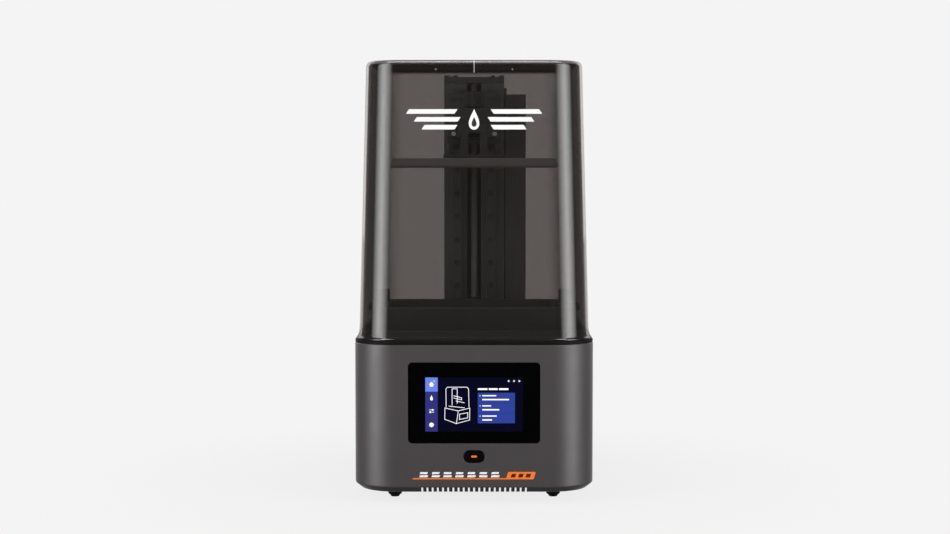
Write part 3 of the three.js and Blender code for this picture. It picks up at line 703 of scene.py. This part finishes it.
def feet():
    for corner in ("front_left", "front_right", "rear_left", "rear_right"):
        node = f"{corner}_foot"
        radius, top = size(node)[0] / 2, box(node)[1].z
        profile = softened([(1.6, 1.2), (1.9, 0), (4.1, 0), (4.7, 1.5), (radius, 3), (radius, top)],
                           0.6, loop=False)
        piece(f"{corner}_pad", turned(profile, middle(node).xy), RUBBER, "base", [node])


def bottom_screws():
    """Countersunk screws that hold the bottom plate."""
    low, high = box("bottom_plate")
    x, y = high.x - 12, high.y - 12
    places = [(x * side, y * share, low.z) for side in (-1, 1) for share in (-0.72, 0, 0.72)]
    places += [(x * side * 0.62, y * share, low.z) for side in (-1, 1) for share in (-0.96, 0.96)]
    screws("bottom_plate_screws", (2.9, 1.1), places, (0, 0, -1), "base", STEEL)


# ---------------------------------------------------------------- front panel

PANEL_X, PANEL_Z = middle("touch_glass").xz


def touch_glass():
    low, high = box("touch_glass")
    width, _, height = size("touch_glass")
    at = (PANEL_X, PANEL_Z)
    pane = slab(insets(width, height, 4), low.y, high.y, 0.25, upright, at)
    piece("touch_glass_pane", pane, PANEL_GLASS, "base", ["touch_glass"])
    behind = high.y + 0.02
    border = rounded(width - 0.4, height - 0.4, 3.8)
    window = [(x, z - DISPLAY["drop"]) for x, z in rounded(DISPLAY["width"], DISPLAY["height"], 0.4)]
    rims = ((border, behind), (window, behind), (window, behind + 0.1), (border, behind + 0.1))
    mask = skin([upright(rim, y, *at) for rim, y in rims], loop=True)
    piece("touch_glass_mask", mask, MASK_INK, "base")


def on_display(outline, layer, x=0, z=0):
    """A flat patch of the picture; a higher layer lies in front of a lower one."""
    front = box("touch_display")[0].y - 0.03 - layer * 0.02
    at = (PANEL_X + x, PANEL_Z - DISPLAY["drop"] + z)
    return skin([upright(outline, front, *at), upright(outline, front + 0.015, *at)])


def bar(width, height, slant=0.0):
    """A bar about the origin, leaning by slant."""
    x, z = width / 2, height / 2
    return [(-x - slant / 2, -z), (x - slant / 2, -z), (x + slant / 2, z), (-x + slant / 2, z)]


def stroke(points, width, layer):
    """A line drawn through points on the display."""
    parts = []
    for (x0, z0), (x1, z1) in zip(points, points[1:]):
        length = math.hypot(x1 - x0, z1 - z0)
        ux, uz = (x1 - x0) / length * width / 2, (z1 - z0) / length * width / 2
        corners = [(x0 - ux + uz, z0 - uz - ux), (x1 + ux + uz, z1 + uz - ux),
                   (x1 + ux - uz, z1 + uz + ux), (x0 - ux - uz, z0 - uz + ux)]
        parts.append(on_display(corners, layer))
    return parts


def droplet(height, count=40):
    """A drop about the origin, `height` high, its point upward."""
    points = []
    for i in range(count):
        angle = 2 * math.pi * i / count
        narrow = math.sin(angle / 2) ** 1.4
        points.append((height * 0.36 * math.sin(angle) * narrow, height / 2 * math.cos(angle)))
    return points[::-1]


def printer_drawing():
    """The line drawing of a machine on the home page."""
    line = 0.55
    hood = [(-27.2, -2.6), (-27.4, 15.4), (-25.8, 17), (-7, 17), (-5.4, 15.4), (-4.9, -2.6)]
    body = [(-28.4, -3.4), (-28.6, -14.4), (-17.2, -18.7), (-4.4, -15.2), (-4.2, -3.4),
            (-15.4, -6.2), (-28.4, -3.4)]
    strokes = [
        hood, body,
        [(-15.4, -6.2), (-17.2, -18.7)],
        [(-21.4, -0.6), (-21.4, 15.4), (-16.4, 15.4), (-16.4, 1.2)],
        [(-19.8, 8.6), (-12.2, 6.6), (-12.2, 4.6), (-19.8, 6.4)],
        [(-17.4, 3.4), (-9.6, 1.8)],
        [(-24.4, -1.6), (-9.2, -3.2)],
        [(-14.2, -9.4), (-6.2, -8.0), (-6.2, -13.0), (-14.2, -14.6), (-14.2, -9.4)],
    ]
    return [part for points in strokes for part in stroke(points, line, 3)]


def navigation_icons(x, heights):
    """House, droplet, sliders and gear."""
    home, resin, sliders, gear = heights
    house = [(-2.6, -0.3), (0, 2.4), (2.6, -0.3), (1.7, -0.3), (1.7, -2.3), (-1.7, -2.3), (-1.7, -0.3)]
    parts = [on_display(house[::-1], 3, x, home), on_display(droplet(5.2), 3, x, resin)]
    for z, knob in ((sliders + 1.1, 1.2), (sliders - 1.1, -1.2)):
        parts += [on_display(bar(4.8, 0.5), 3, x, z), on_display(lobed(0.85, count=20), 4, x + knob, z)]
    parts.append(on_display(lobed(2.5, 8, 0.7, 64), 3, x, gear))
    return parts


def display_picture():
    """The home page: a navigation bar, a drawing of the machine, and three rows of plain bars for text."""
    width, height = DISPLAY["width"], DISPLAY["height"]
    nav_width, tile = 12.1, 13.8
    nav_x = -width / 2 + nav_width / 2
    heights = (19.9, 6.6, -6.3, -19.9)
    info_x, info_z, info_width, info_height = 21.7, -3.4, 36.2, 29.9

    page = [on_display(bar(width, height), 0)]
    nav = [on_display(bar(nav_width, height), 1, nav_x)]
    active = [on_display(bar(nav_width, tile), 2, nav_x, height / 2 - tile / 2)]
    info = [on_display(bar(info_width, info_height), 1, info_x, info_z)]
    rules = [on_display(bar(info_width, 0.3), 2, info_x, info_z + info_height * s) for s in (1 / 6, -1 / 6)]
    white = navigation_icons(nav_x, heights) + printer_drawing()
    white += [on_display(bar(w, 1.7), 3, x, 15.1) for x, w in ((8.3, 9.4), (18.6, 8.6), (28.8, 9.2))]
    for row, (first, second) in enumerate(((13.5, 26.0), (8.5, 16.5), (14.0, 9.5))):
        z = info_z + info_height * (1 - row) / 3
        left = info_x - info_width / 2
        white.append(on_display(lobed(0.45, count=16), 3, left + 2.2, z + 2.1))
        white.append(on_display(bar(first, 1.1), 3, left + 4.4 + first / 2, z + 2.1))
        white.append(on_display(bar(second, 1.3), 3, left + 4.4 + second / 2, z - 1.7))
    for x, count in ((33.7, 4), (38.9, 5), (44.0, 3)):
        white.append(on_display(lobed(1.1, count, 0.7, 30), 3, x, 23))
    dot = [on_display(lobed(0.7, count=20), 4, nav_x + 2.6, heights[0] + 3.0)]

    for name, parts, color in (
        ("display_page", page, (0.0002, 0.0002, 0.009)),
        ("display_navigation", nav, (0.024, 0.026, 0.15)),
        ("display_tile", active, (0.12, 0.19, 0.66)),
        ("display_panel", info, (0.023, 0.043, 0.25)),
        ("display_rules", rules, (0.01, 0.02, 0.14)),
        ("display_marks", white, (0.9, 0.9, 0.95)),
        ("display_alert", dot, (0.6, 0.7, 0.15)),
    ):
        piece(name, merged(*parts), lit(name, color, 1.9), "base")


def power_button():
    """A pill-shaped cap with a lamp window, on a lip that keeps it in."""
    low, high = box("power_button")
    at = middle("power_button").xz
    front, back = low.y, high.y
    width, height = BUTTON
    lip_front, lip_back = front + 3.55, front + 4.8
    lip_width, lip_height = 24.4, 15.6
    lamp_width, _, lamp_height = size("button_light")
    pill = insets(lamp_width, lamp_height, lamp_height / 2, 8)
    cap = slab(insets(width, height, height / 2), front, front + 3.5, 0.7, upright, at, 5)
    window = skin([upright(pill(-0.15), y, *at) for y in (front - 1, front + 3)])
    piece("button_cap", carved(cap, window), GLOSS, "power_button", ["power_button"])
    lip = slab(insets(lip_width, lip_height, lip_height / 2), lip_front, lip_back, 0.2, upright, at)
    stem = slab(lambda d: lobed(2.5 - d), lip_back, back, 0.2, upright, at)
    piece("button_flange", merged(lip, stem), BLACK, "power_button")
    lens = slab(pill, front + 0.15, front + 2.8, 0.2, upright, at)
    piece("button_lens", lens, LAMP, "power_button", ["button_light"])


def printed_marks():
    """Generic marks under the button: slanted blocks, a stripe and a tag."""

    def mark(outline, x, z, layer=0):
        return skin([upright(outline, y, x, z) for y in (FRONT - 0.05 - 0.03 * layer, FRONT + 0.02)])

    stripe = softened([(-60, 24.0), (31.6, 24.0), (32.0, 25.2), (-59.6, 25.2)], 0.3)
    tag = softened([(31, 24.0), (58, 24.0), (60.2, 31.3), (33.2, 31.3)], 1.2)
    orange = merged(mark(stripe, 0, 0), mark(tag, 0, 0, 1))
    piece("front_stripe", orange, ORANGE_INK, "base")
    notches = [mark(softened(bar(4.4, 3.6, 1.1), 0.3), 38.4 + i * 7.2, 27.65, 2) for i in range(3)]
    piece("front_tag_marks", merged(*notches), DARK_INK, "base")
    blocks = [mark(softened(bar(length, 2.0, 0.6), 0.3), -49 + i * 11.6, z)
              for i in range(7) for z, length in ((27.0, 8.0), (30.1, 7.1))]
    piece("front_blocks", merged(*blocks), WHITE_INK, "base")


# ---------------------------------------------------------------- rear

def rear_fittings():
    """The low-voltage inlet: a flanged barrel with a pin in it."""
    at = middle("power_jack")
    mouth = ((at.x, BACK, at.z), (0, -1, 0))
    rim = softened([(3.2, 10.5), (3.2, 0), (6.5, 0), (6.5, 1.4), (5.4, 1.5), (5.4, 13), (0.01, 13),
                    (0.01, 10.5)], 0.3)
    pin = softened([(0.01, 11), (1, 11), (1, 1.2), (0.01, 1)], 0.3, loop=False)
    barrel = aimed(turned(rim, loop=True), *mouth)
    piece("power_inlet", barrel, BLACK, "base", ["power_jack"])
    piece("power_inlet_pin", aimed(turned(pin), *mouth), STEEL, "base")


# ---------------------------------------------------------------- cover

def cover_ring(z, half, radius, inset=0.0):
    cover_width, cover_depth, _ = size("tinted_cover")
    outline = insets(2 * half, 2 * half + cover_depth - cover_width, radius, 24)
    return flat(outline(inset), z)


def cover_sides(inset, roof):
    """Rings up the cover's wall and over the rounded edge of its roof."""
    edge = roof - ROOF_EDGE
    rings = []
    for step in range(5):
        share = step / 4
        half = LOW_HALF + (HIGH_HALF - LOW_HALF) * share
        radius = LOW_RADIUS + (HIGH_RADIUS - LOW_RADIUS) * share
        rings.append(cover_ring(FLARE_TOP + (ROOF_EDGE - FLARE_TOP) * share, half, radius, inset))
    for step in range(1, 9):
        angle = math.radians(90 * step / 8)
        drawn_in = inset + edge * (1 - math.cos(angle))
        rings.append(cover_ring(ROOF_EDGE + edge * math.sin(angle), HIGH_HALF, HIGH_RADIUS, drawn_in))
    return rings


def hood():
    """The smoky cover: a real wall, a flared foot and a rounded roof."""
    foot = COVER_HIGH.x - 1.4  # the lip's rounded edge lies inside the solid's
    low = COVER_LOW.z
    lip = softened([(0.4, 0), (0, 0.3), (0, 1.3), (1.2, 2.4), (1.7, 4.4), (2.2, 6.6), (2.6, 8.8)],
                   0.9, loop=False)
    flare = [cover_ring(low + rise, foot - drawn_in, BASE_RADIUS - 1.6 - drawn_in * 0.5)
             for drawn_in, rise in lip]
    inside = cover_sides(COVER_WALL, COVER_HIGH.z - 3)
    bottom = [cover_ring(low, LOW_HALF, LOW_RADIUS, COVER_WALL)]
    shell = skin(inside[::-1] + bottom + flare + cover_sides(0, COVER_HIGH.z))
    made = piece("cover_hood", shell, ACRYLIC, "cover", ["tinted_cover"])
    made.data.materials.append(ROOF_ACRYLIC)
    for face in made.data.polygons:
        if face.center.z > ROOF_EDGE * MM and face.normal.z < -0.9:  # the roof's underside
            face.material_index = 1
    made.visible_shadow = False  # the lights reach the inside as if the cover were off


def on_cover(outline, x, z, proud=0.06):
    """A flat mark on the cover's front wall, which leans back."""
    foot = COVER_LOW.y + COVER_HIGH.x - LOW_HALF
    return skin([
        [(px + x, foot + COVER_LEAN * (pz + z - FLARE_TOP) - away, pz + z) for px, pz in outline]
        for away in (proud, -0.02)
    ])


def pale_centre_line(width, bottom):
    """A pale line, a little proud, from the front wall over the edge of the roof."""
    edge = COVER_HIGH.z - ROOF_EDGE
    front = COVER_LOW.y + COVER_HIGH.x - HIGH_HALF
    path = [(front - COVER_LEAN * (ROOF_EDGE - bottom), bottom, 0.0)]
    path += [(front + edge * (1 - math.cos(a)), ROOF_EDGE + edge * math.sin(a), a)
             for a in (math.radians(9 * step) for step in range(10))]
    proud, sunk = 0.12, -0.02
    section = ((-1, proud), (1, proud), (1, sunk), (-1, sunk))
    return skin([
        [(side * width / 2, y - away * math.cos(a), z + away * math.sin(a)) for side, away in section]
        for y, z, a in path
    ])


def cover_marks():
    """A generic mark, a drop between layers, a pale line over the roof's front edge, and two small dots that
    moulding leaves.
    """
    centre, spacing = 374.2, 7.6
    parts = []
    for side in (-1, 1):
        for row, (start, end) in enumerate(((17.5, 64.5), (14.5, 57.0), (17.5, 49.5))):
            shape = softened(bar(end - start, 4.4, -side * 3.0), 0.5)
            parts.append(on_cover(shape, side * (start + end) / 2, centre + (1 - row) * spacing))
    parts.append(on_cover(droplet(20), 0, centre))
    piece("cover_emblem", merged(*parts), WHITE_INK, "cover")
    heart = on_cover(droplet(9.5), 0, centre - 2.4, 0.1)
    piece("cover_emblem_heart", heart, DARK_INK, "cover")
    tick = pale_centre_line(0.55, 419.5)
    piece("cover_gate_mark", tick, ink("pale_centre_line", (0.45, 0.45, 0.45), 0.2), "cover")
    dots = [on_cover(lobed(0.9, count=24), x, 422.6, 0.1) for x in (-37.2, 37.2)]
    piece("cover_ejector_marks", merged(*dots), ink("ejector_mark", (0.12, 0.115, 0.11), 0.25), "cover")


# ---------------------------------------------------------------- column and screw

def lead_screw():
    """A four-start trapezoidal thread: 2 mm from crest to crest, 8 mm along for each turn."""
    bottom = box("lead_screw")[0].z
    width, _, length = size("lead_screw")
    starts, pitch, depth = 4, 2.0, 0.75
    per_turn, step = 32, 0.25

    def groove(angle, z):
        phase = (z / pitch - starts * angle / (2 * math.pi)) % 1
        return min(max((abs(phase - 0.5) - 0.16) / 0.14, 0), 1)

    rings = []
    for row in range(int(length / step) + 1):
        z = bottom + row * step
        ring = ring_of(lambda angle: width / 2 - depth * groove(angle, z), per_turn)
        rings.append(flat(ring, z, 0, SCREW_Y))
    piece("threaded_screw", skin(rings), THREAD_PAINTED_HIGHLIGHT, "screw", ["lead_screw"], crease=50)


def coupling():
    """A clamp coupling with five slits and two clamp screws."""
    low, high = box("shaft_coupling")
    radius = size("shaft_coupling")[0] / 2
    profile = [(2.8, low.z), (radius, low.z)]
    for i in range(5):
        z = low.z + 7.2 + i * 2.4
        profile += [(radius, z), (radius - 1.6, z), (radius - 1.6, z + 0.8), (radius, z + 0.8)]
    profile += [(radius, high.z), (4.3, high.z), (4.3, low.z + 13.5), (2.8, low.z + 13)]
    body = turned(softened(profile, 0.3, 2), (0, SCREW_Y), loop=True)
    piece("flexible_coupling", body, ALUMINIUM, "screw", ["shaft_coupling"])
    places = [(0, SCREW_Y - radius + 0.3, z) for z in (low.z + 3.6, high.z - 3.4)]
    screws("coupling_screws", (1.9, 1.2), places, (0, -1, 0), "screw", STEEL)


def rails():
    """Ground linear rails with grooved flanks and counterbored bolt holes."""
    count, margin = 10, 12
    for side in ("left", "right"):
        node = f"{side}_rail"
        low, high = box(node)
        x = (low.x + high.x) / 2
        width, tall, length = size(node)
        half = width / 2
        groove = [(half, -0.66), (half - 0.9, -0.5), (half, -0.34)]
        flank = [(px, share * tall) for px, share in ((half, -1), *groove, (half, 0))]
        section = softened([(-px, py) for px, py in flank[::-1]] + flank, 0.35, 2)
        rail = skin([flat(section, z, x, high.y) for z in (low.z, high.z)])
        step = (length - 2 * margin) / (count - 1)
        heights = [low.z + margin + i * step for i in range(count)]
        bores = [aimed(turned([(2.9, -1), (2.9, 3.4)], count=24), (x, low.y, z), (0, 1, 0)) for z in heights]
        piece(f"{side}_linear_rail", carved(rail, *bores), DARK_STEEL, "base", [node])
        places = [(x, low.y + 2.6, z) for z in heights]
        screws(f"{side}_rail_bolts", (2.6, 1.6), places, (0, -1, 0), "base", DARK_STEEL)


def duct_seam():
    """The foam strip between the cable duct and the column."""
    low, high = box("z_column")
    start, thick = high.x + 0.02, 0.96
    top = box("side_duct")[1].z - 12
    strip = block((start, start + thick), (low.y + 2, low.y + 8), (low.z, top))
    piece("duct_seam_strip", strip, RUBBER, "base")


def column_screws():
    """Socket-head screws in the column's cap."""
    low, high = box("column_cap")
    y, top = (low.y + high.y) / 2, 423
    places = [(x, y + dy, top) for x in (-20, 20) for dy in (-9, 9)]
    screws("column_cap_screws", (2.4, 1.8), places, (0, 0, 1), "base", SHEET)


def bearing():
    low, high = box("screw_bearing")
    radius = size("screw_bearing")[0] / 2
    rings = [(4.3, low.z), (radius, low.z), (radius, high.z), (6.9, high.z), (6.9, high.z - 0.6),
             (5.6, high.z - 0.6), (5.6, high.z), (4.3, high.z)]
    race = turned(softened(rings, 0.15, 2), (0, SCREW_Y), loop=True)
    piece("screw_bearing_race", race, STEEL, "base", ["screw_bearing"])


# ---------------------------------------------------------------- carriage, arm and platform

def lead_nut():
    """A flanged brass nut and its four screws."""
    low, high = box("lead_nut")
    wide = size("lead_nut")[0] / 2
    profile = softened([(4.35, low.z), (5.3, low.z), (5.3, high.z - 3), (wide, high.z - 3), (wide, high.z),
                        (6.4, high.z), (5.9, high.z + 0.01), (4.35, high.z)], 0.3, 2)
    piece("brass_nut", turned(profile, (0, SCREW_Y), loop=True), BRASS, "carriage", ["lead_nut"])
    circle = 8.3  # the radius that the screws stand on
    angles = [math.radians(45 + 90 * i) for i in range(4)]
    places = [(circle * math.cos(a), SCREW_Y + circle * math.sin(a), high.z) for a in angles]
    screws("brass_nut_screws", (1.7, 1.5), places, (0, 0, 1), "carriage", STEEL)


def carriage_screws():
    """The screws that hold the arm and the rail blocks to the carriage, and two in the arm's nose."""
    low, high = box("carriage_plate")
    forward = (0, -1, 0)
    places = [(x, low.y, high.z - 6) for x in (-22.5, -13.5, 13.5, 22.5)]
    screws("carriage_screws", (2.4, 1.7), places, forward, "carriage", DARK_STEEL)
    places = [(x, ARM_LOW.y, ARM_LOW.z + 3.2) for x in (-20.7, 20.7)]
    screws("arm_screws", (2.2, 0.9), places, forward, "carriage", ZINC)


def knob():
    """The knob that clamps the platform: eight soft lobes and a dished top."""
    low, high = box("platform_knob")
    radius = size("platform_knob")[0] / 2
    grip_low, top = ARM_HIGH.z + 1, high.z
    rings = []
    for inset, z in ((2.2, grip_low), (0.6, grip_low + 0.8), (0, grip_low + 2.4), (0, top - 3.2),
                     (0.5, top - 1.5), (1.6, top - 0.4), (2.8, top), (4.0, top - 0.1), (5.4, top - 0.9),
                     (8.5, top - 1.2)):
        groove = 1.7 * min(1, max(0, 1 - inset / 6))
        rings.append(flat(lobed(radius - inset, 8, groove, 96), z, 0, VAT_Y))
    grip = skin(rings)
    stem = turned([(7, ARM_HIGH.z + 0.3), (7, grip_low + 0.6)], (0, VAT_Y))
    stud = turned(softened([(0.6, low.z), (2.9, low.z + 0.8), (2.9, grip_low)], 0.3, loop=False), (0, VAT_Y))
    piece("clamp_knob", merged(grip, stem), BLACK, "platform_knob", ["platform_knob"])
    piece("clamp_knob_stud", stud, STEEL, "platform_knob")


def build_plate():
    """The platform: an etched underside, square sides and a sloped top edge."""
    low, high = box("build_plate")
    width, depth, _ = size("build_plate")
    profile = softened([(1.5, low.z), (0, low.z + 1.4), (0, low.z + 2.6), (2.3, high.z - 0.3), (2.8, high.z)],
                       0.3, 3, loop=False)
    rings = [flat(rounded(width - 2 * d, depth - 2 * d, 3.2 - d * 0.6, 6), z, 0, VAT_Y) for d, z in profile]
    piece("etched_platform", skin(rings), ETCHED, "platform", ["build_plate"])


def levelling_screws():
    """The four bolts that level the platform, with their heads on the bracket."""
    top = box("platform_bracket")[0].z + 3.6
    for i in range(1, 5):
        node = f"levelling_screw_{i}"
        low, high = box(node)
        at = middle(node).xy
        head = aimed(cap_screw(size(node)[0] / 2, high.z - top), (*at, top))
        shank = turned([(2, low.z), (2, top + 0.1)], at, count=32)
        piece(f"levelling_bolt_{i}", merged(head, shank), SHEET, "platform", [node])


# ---------------------------------------------------------------- vat

def vat():
    """The resin vat: a tank inside a skirt with round corners, and a lip at each end to lift it by."""
    low, high = box("vat_body")
    tank_width, tank_depth, _ = size("film_frame")
    tank_bottom = box("film_frame")[1].z + 0.1
    tank = insets(tank_width, tank_depth, 11)
    skirt = insets(205, size("vat_body")[1], 20)
    wall, skirt_wall, floor_z = 3, 2.5, 184
    bend = 1.2  # the radius of the skirt's top edge
    quarter = [math.radians(90 * step / 4) for step in range(5)]
    layers = [(tank, wall, tank_bottom), (tank, wall, VAT_RIM - 1)]
    layers += [(tank, wall - 1 + math.cos(a), VAT_RIM - 1 + math.sin(a)) for a in quarter]
    layers += [(skirt, bend * (1 - math.sin(a)), VAT_RIM - bend * (1 - math.cos(a))) for a in quarter]
    layers += [(skirt, 0, low.z + 0.4), (skirt, 0.4, low.z), (skirt, skirt_wall, low.z),
               (skirt, skirt_wall, floor_z), (tank, 0, floor_z), (tank, 0, tank_bottom)]
    body = skin([flat(outline(inset), z, 0, VAT_Y) for outline, inset, z in layers], loop=True)

    lip_start, lip_end, lip_low, lip_half = 99, high.x, 181.5, 11
    section = softened([
        (lip_start, lip_low), (lip_end - 1, lip_low), (lip_end, lip_low + 1.5), (lip_end, VAT_RIM - 0.5),
        (lip_end - 2.5, high.z), (102.8, high.z), (102.6, VAT_RIM - 0.1), (lip_start, VAT_RIM - 0.1),
    ], 1.2, 3)
    lips = [skin([upright([(side * x, z) for x, z in section], VAT_Y + y) for y in (-lip_half, lip_half)])
            for side in (-1, 1)]
    body = carved(body, *lips, operation="UNION")
    piece("resin_vat", body, BLASTED, "vat", ["vat_body"])


def film():
    """The ring that holds the release film, and the screws under it."""
    low, high = box("film_frame")
    width, depth, _ = size("film_frame")
    wall, pitch = 5, 25
    section = softened([(0, low.z), (0, high.z), (wall, high.z), (wall, low.z)], 0.4, 3)
    outline = insets(width, depth, 11, 10)
    ring = skin([flat(outline(d), z, 0, VAT_Y) for d, z in section], loop=True)
    piece("film_ring", ring, ALUMINIUM, "vat", ["film_frame"])
    places = [(i * pitch, VAT_Y + side * (depth - wall) / 2, low.z + 0.05)
              for i in range(-3, 4) for side in (-1, 1)]
    screws("film_ring_screws", (1.7, 0.5), places, (0, 0, -1), "vat", STEEL)


def vat_screws():
    """Knurled thumbscrews that hold the vat down."""
    for side in ("left", "right"):
        node = f"{side}_vat_screw"
        bottom, top = (corner.z for corner in box(node))
        at = middle(node).xy
        radius = size(node)[0] / 2
        rings = []
        for inset, z in ((1.2, VAT_RIM + 1.2), (0.5, VAT_RIM + 1.5), (0, VAT_RIM + 2.2), (0, top - 1.6),
                         (0.3, top - 0.8), (1.0, top - 0.2), (1.9, top), (4.5, top), (4.9, top - 0.8)):
            groove = 0.55 if inset < 0.6 else 0.2
            rings.append(flat(lobed(radius - inset, 36, groove, 216), z, *at))
        collar = turned([(6, VAT_RIM + 0.3), (6, VAT_RIM + 1.3)], at)
        tip = [(1.2, bottom), (2, bottom + 0.8), (2, VAT_RIM + 0.4)]
        shank = turned(softened(tip, 0.2, loop=False), at)
        grip = merged(skin(rings), collar, shank)
        piece(f"{side}_thumbscrew", grip, SHEET, f"{side}_vat_screw", [node])


# ---------------------------------------------------------------- CAD nodes shown as they are

def polished(finish, edge, names):
    """Gives CAD nodes their finish, and softens their edges by `edge` millimetres."""
    for name in names.split():
        node = NODES[name]
        node.data.materials.clear()
        node.data.materials.append(finish)
        weld = node.modifiers.new("weld", "WELD")
        weld.merge_threshold = 1e-6
        bevel = node.modifiers.new("soft edges", "BEVEL")
        bevel.width = edge * MM
        bevel.segments = 2
        bevel.limit_method = "ANGLE"
        bevel.angle_limit = math.radians(40)


def cad_nodes():
    # the column takes the lighter copy of the anodising, painted lighter for the dimmer light it gets
    polished(ANODISED, 0.4, "z_column")
    polished(SATIN_ANODISED, 0.4, "column_cap side_duct carriage_plate")
    polished(BLASTED, 0.5, "cantilever_arm platform_bracket")
    polished(SHEET, 0.3, "bottom_plate light_hood")
    polished(ALUMINIUM, 0.2, "limit_flag heat_sink led_board")
    polished(STEEL, 0.25, "left_rail_block right_rail_block motor_shaft usb_shell")
    polished(BLACK, 0.25, "limit_sensor rocker_housing power_rocker usb_tongue touch_display screen_frame")
    polished(BLACK, 0.2, "lamp_fan_frame lamp_fan_rotor exhaust_fan_frame exhaust_fan_rotor")
    polished(BOARD, 0.15, "main_board display_board button_board")
    polished(MOTOR, 0.5, "z_motor")
    polished(LCD, 0.1, "exposure_screen")
    polished(FILM, 0.05, "release_film")
    polished(LENS, 0.3, "collimating_lens")


# ---------------------------------------------------------------- studio

BACKDROP = 0.905  # the pale backdrop's brightness


def glow(name, brightness):
    """A material that shines evenly, whatever falls on it."""
    material = bpy.data.materials.new(name)
    material.use_nodes = True
    tree = material.node_tree
    tree.nodes.remove(tree.nodes["Principled BSDF"])
    emission = add_node(tree, "ShaderNodeEmission", {"Color": (brightness, brightness, brightness, 1)})
    tree.links.new(emission.outputs[0], tree.nodes["Material Output"].inputs["Surface"])
    return material


def staged(name, shape, material):
    """A part of the studio that only the camera sees."""
    made = placed(name, shape)
    made.data.materials.append(material)
    made.data.shade_smooth()
    made.visible_diffuse = False
    made.visible_glossy = False
    made.visible_transmission = False
    made.visible_shadow = False


def floor():
    """A pale floor that mostly glows like the backdrop, so that only a soft contact shadow shows."""
    material = glow("pale_floor", BACKDROP)
    tree = material.node_tree
    where = add_node(tree, "ShaderNodeTexCoord").outputs["Object"]
    far = add_node(tree, "ShaderNodeVectorMath", {0: where}, operation="LENGTH").outputs["Value"]
    spread = {"Value": far, "From Min": 0.12, "From Max": 0.5, "To Min": 0.1, "To Max": 0.0}
    share = add_node(tree, "ShaderNodeMapRange", spread, interpolation_type="SMOOTHSTEP").outputs[0]
    matte = add_node(tree, "ShaderNodeBsdfDiffuse", {"Color": (0.5, 0.5, 0.5, 1)}).outputs[0]
    glowing = tree.nodes["Emission"].outputs[0]
    mix = add_node(tree, "ShaderNodeMixShader", {0: share, 1: glowing, 2: matte})
    tree.links.new(mix.outputs[0], tree.nodes["Material Output"].inputs["Surface"])
    shape = bmesh.new()
    bmesh.ops.create_circle(shape, cap_ends=True, segments=96, radius=4.0)
    staged("floor", shape, material)


def backdrop():
    shape = bmesh.new()
    bmesh.ops.create_uvsphere(shape, u_segments=48, v_segments=24, radius=5.0)
    staged("backdrop", shape, glow("backdrop", BACKDROP))


def surroundings():
    """What the printer mirrors: a dim room in front of it, and a brighter one behind."""
    world = bpy.data.worlds.new("studio")
    world.use_nodes = True
    tree = world.node_tree
    where = add_node(tree, "ShaderNodeTexCoord").outputs["Generated"]
    split = add_node(tree, "ShaderNodeSeparateXYZ", {0: where})
    backward = add_node(tree, "ShaderNodeMapRange", {"Value": split.outputs["Y"], "From Min": -1}).outputs[0]
    light = gradient(tree, backward, ((0.0, 0.07), (0.55, 0.08), (0.82, 0.13), (0.95, 0.9), (1.0, 1.0)))
    tree.links.new(light, tree.nodes["Background"].inputs["Color"])
    bpy.context.scene.world = world


def softbox(name, place, target, extent, radiance, fade=None):
    """A rectangular lamp. `fade` is the share of its width over which its two sides die away."""
    data = bpy.data.lights.new(name, "AREA")
    data.shape = "RECTANGLE"
    data.size, data.size_y = extent
    data.energy = radiance * math.pi * extent[0] * extent[1]
    lamp = bpy.data.objects.new(name, data)
    bpy.context.scene.collection.objects.link(lamp)
    lamp.location = place
    lamp.rotation_euler = (Vector(target) - Vector(place)).to_track_quat("-Z", "Y").to_euler()
    lamp.visible_camera = False
    if fade:
        data.use_nodes = True
        tree = data.node_tree
        where = add_node(tree, "ShaderNodeNewGeometry").outputs["Parametric"]
        across = add_node(tree, "ShaderNodeSeparateXYZ", {0: where}).outputs[0]
        strength = gradient(tree, across, ((0, 0), (fade, 1), (1 - fade, 1), (1, 0)))
        tree.links.new(strength, tree.nodes["Emission"].inputs["Strength"])
    return lamp


def lights():
    """Two tall strips beside the camera, one lamp above, a weak front fill and two weak ones behind."""
    height, distance, angle = 0.52, 1.2, math.radians(57)
    for name, side in (("left_strip", -1), ("right_strip", 1)):
        place = (side * distance * math.sin(angle), -distance * math.cos(angle), height)
        softbox(name, place, (0, 0, height), (1.1, 1.55), 7.0, fade=0.45)
    softbox("top", (0, -0.12, 1.5), (0, -0.12, 0.3), (1.4, 0.3), 8.0)
    fill = softbox("front_fill", (0, -2.3, 0.9), (0, 0, 0.25), (1.8, 1.4), 1.6)
    fill.visible_glossy = False
    for name, side in (("rear_left", -1), ("rear_right", 1)):
        softbox(name, (side * 1.2, 1.3, 0.7), (0, 0, 0.25), (0.6, 1.0), 1.6)


def camera():
    data = bpy.data.cameras.new("camera")
    data.sensor_width = 36
    data.lens = 71.24
    distance, height, dip = 1.818, 0.3357, 3.285
    made = bpy.data.objects.new("camera", data)
    bpy.context.scene.collection.objects.link(made)
    made.location = (0.0009, FRONT * MM - distance, height)
    made.rotation_euler = (math.radians(90 - dip), 0, 0)
    bpy.context.scene.camera = made


# ---------------------------------------------------------------- the printer

def printer():
    base_casing()
    deck()
    gasket()
    feet()
    bottom_screws()
    touch_glass()
    display_picture()
    power_button()
    printed_marks()
    rear_fittings()
    hood()
    cover_marks()
    lead_screw()
    coupling()
    rails()
    duct_seam()
    column_screws()
    bearing()
    lead_nut()
    carriage_screws()
    knob()
    build_plate()
    levelling_screws()
    vat()
    film()
    vat_screws()
    cad_nodes()


camera()
printer()
surroundings()
lights()
floor()
backdrop()
bpy.context.scene.view_settings.view_transform = "Standard"
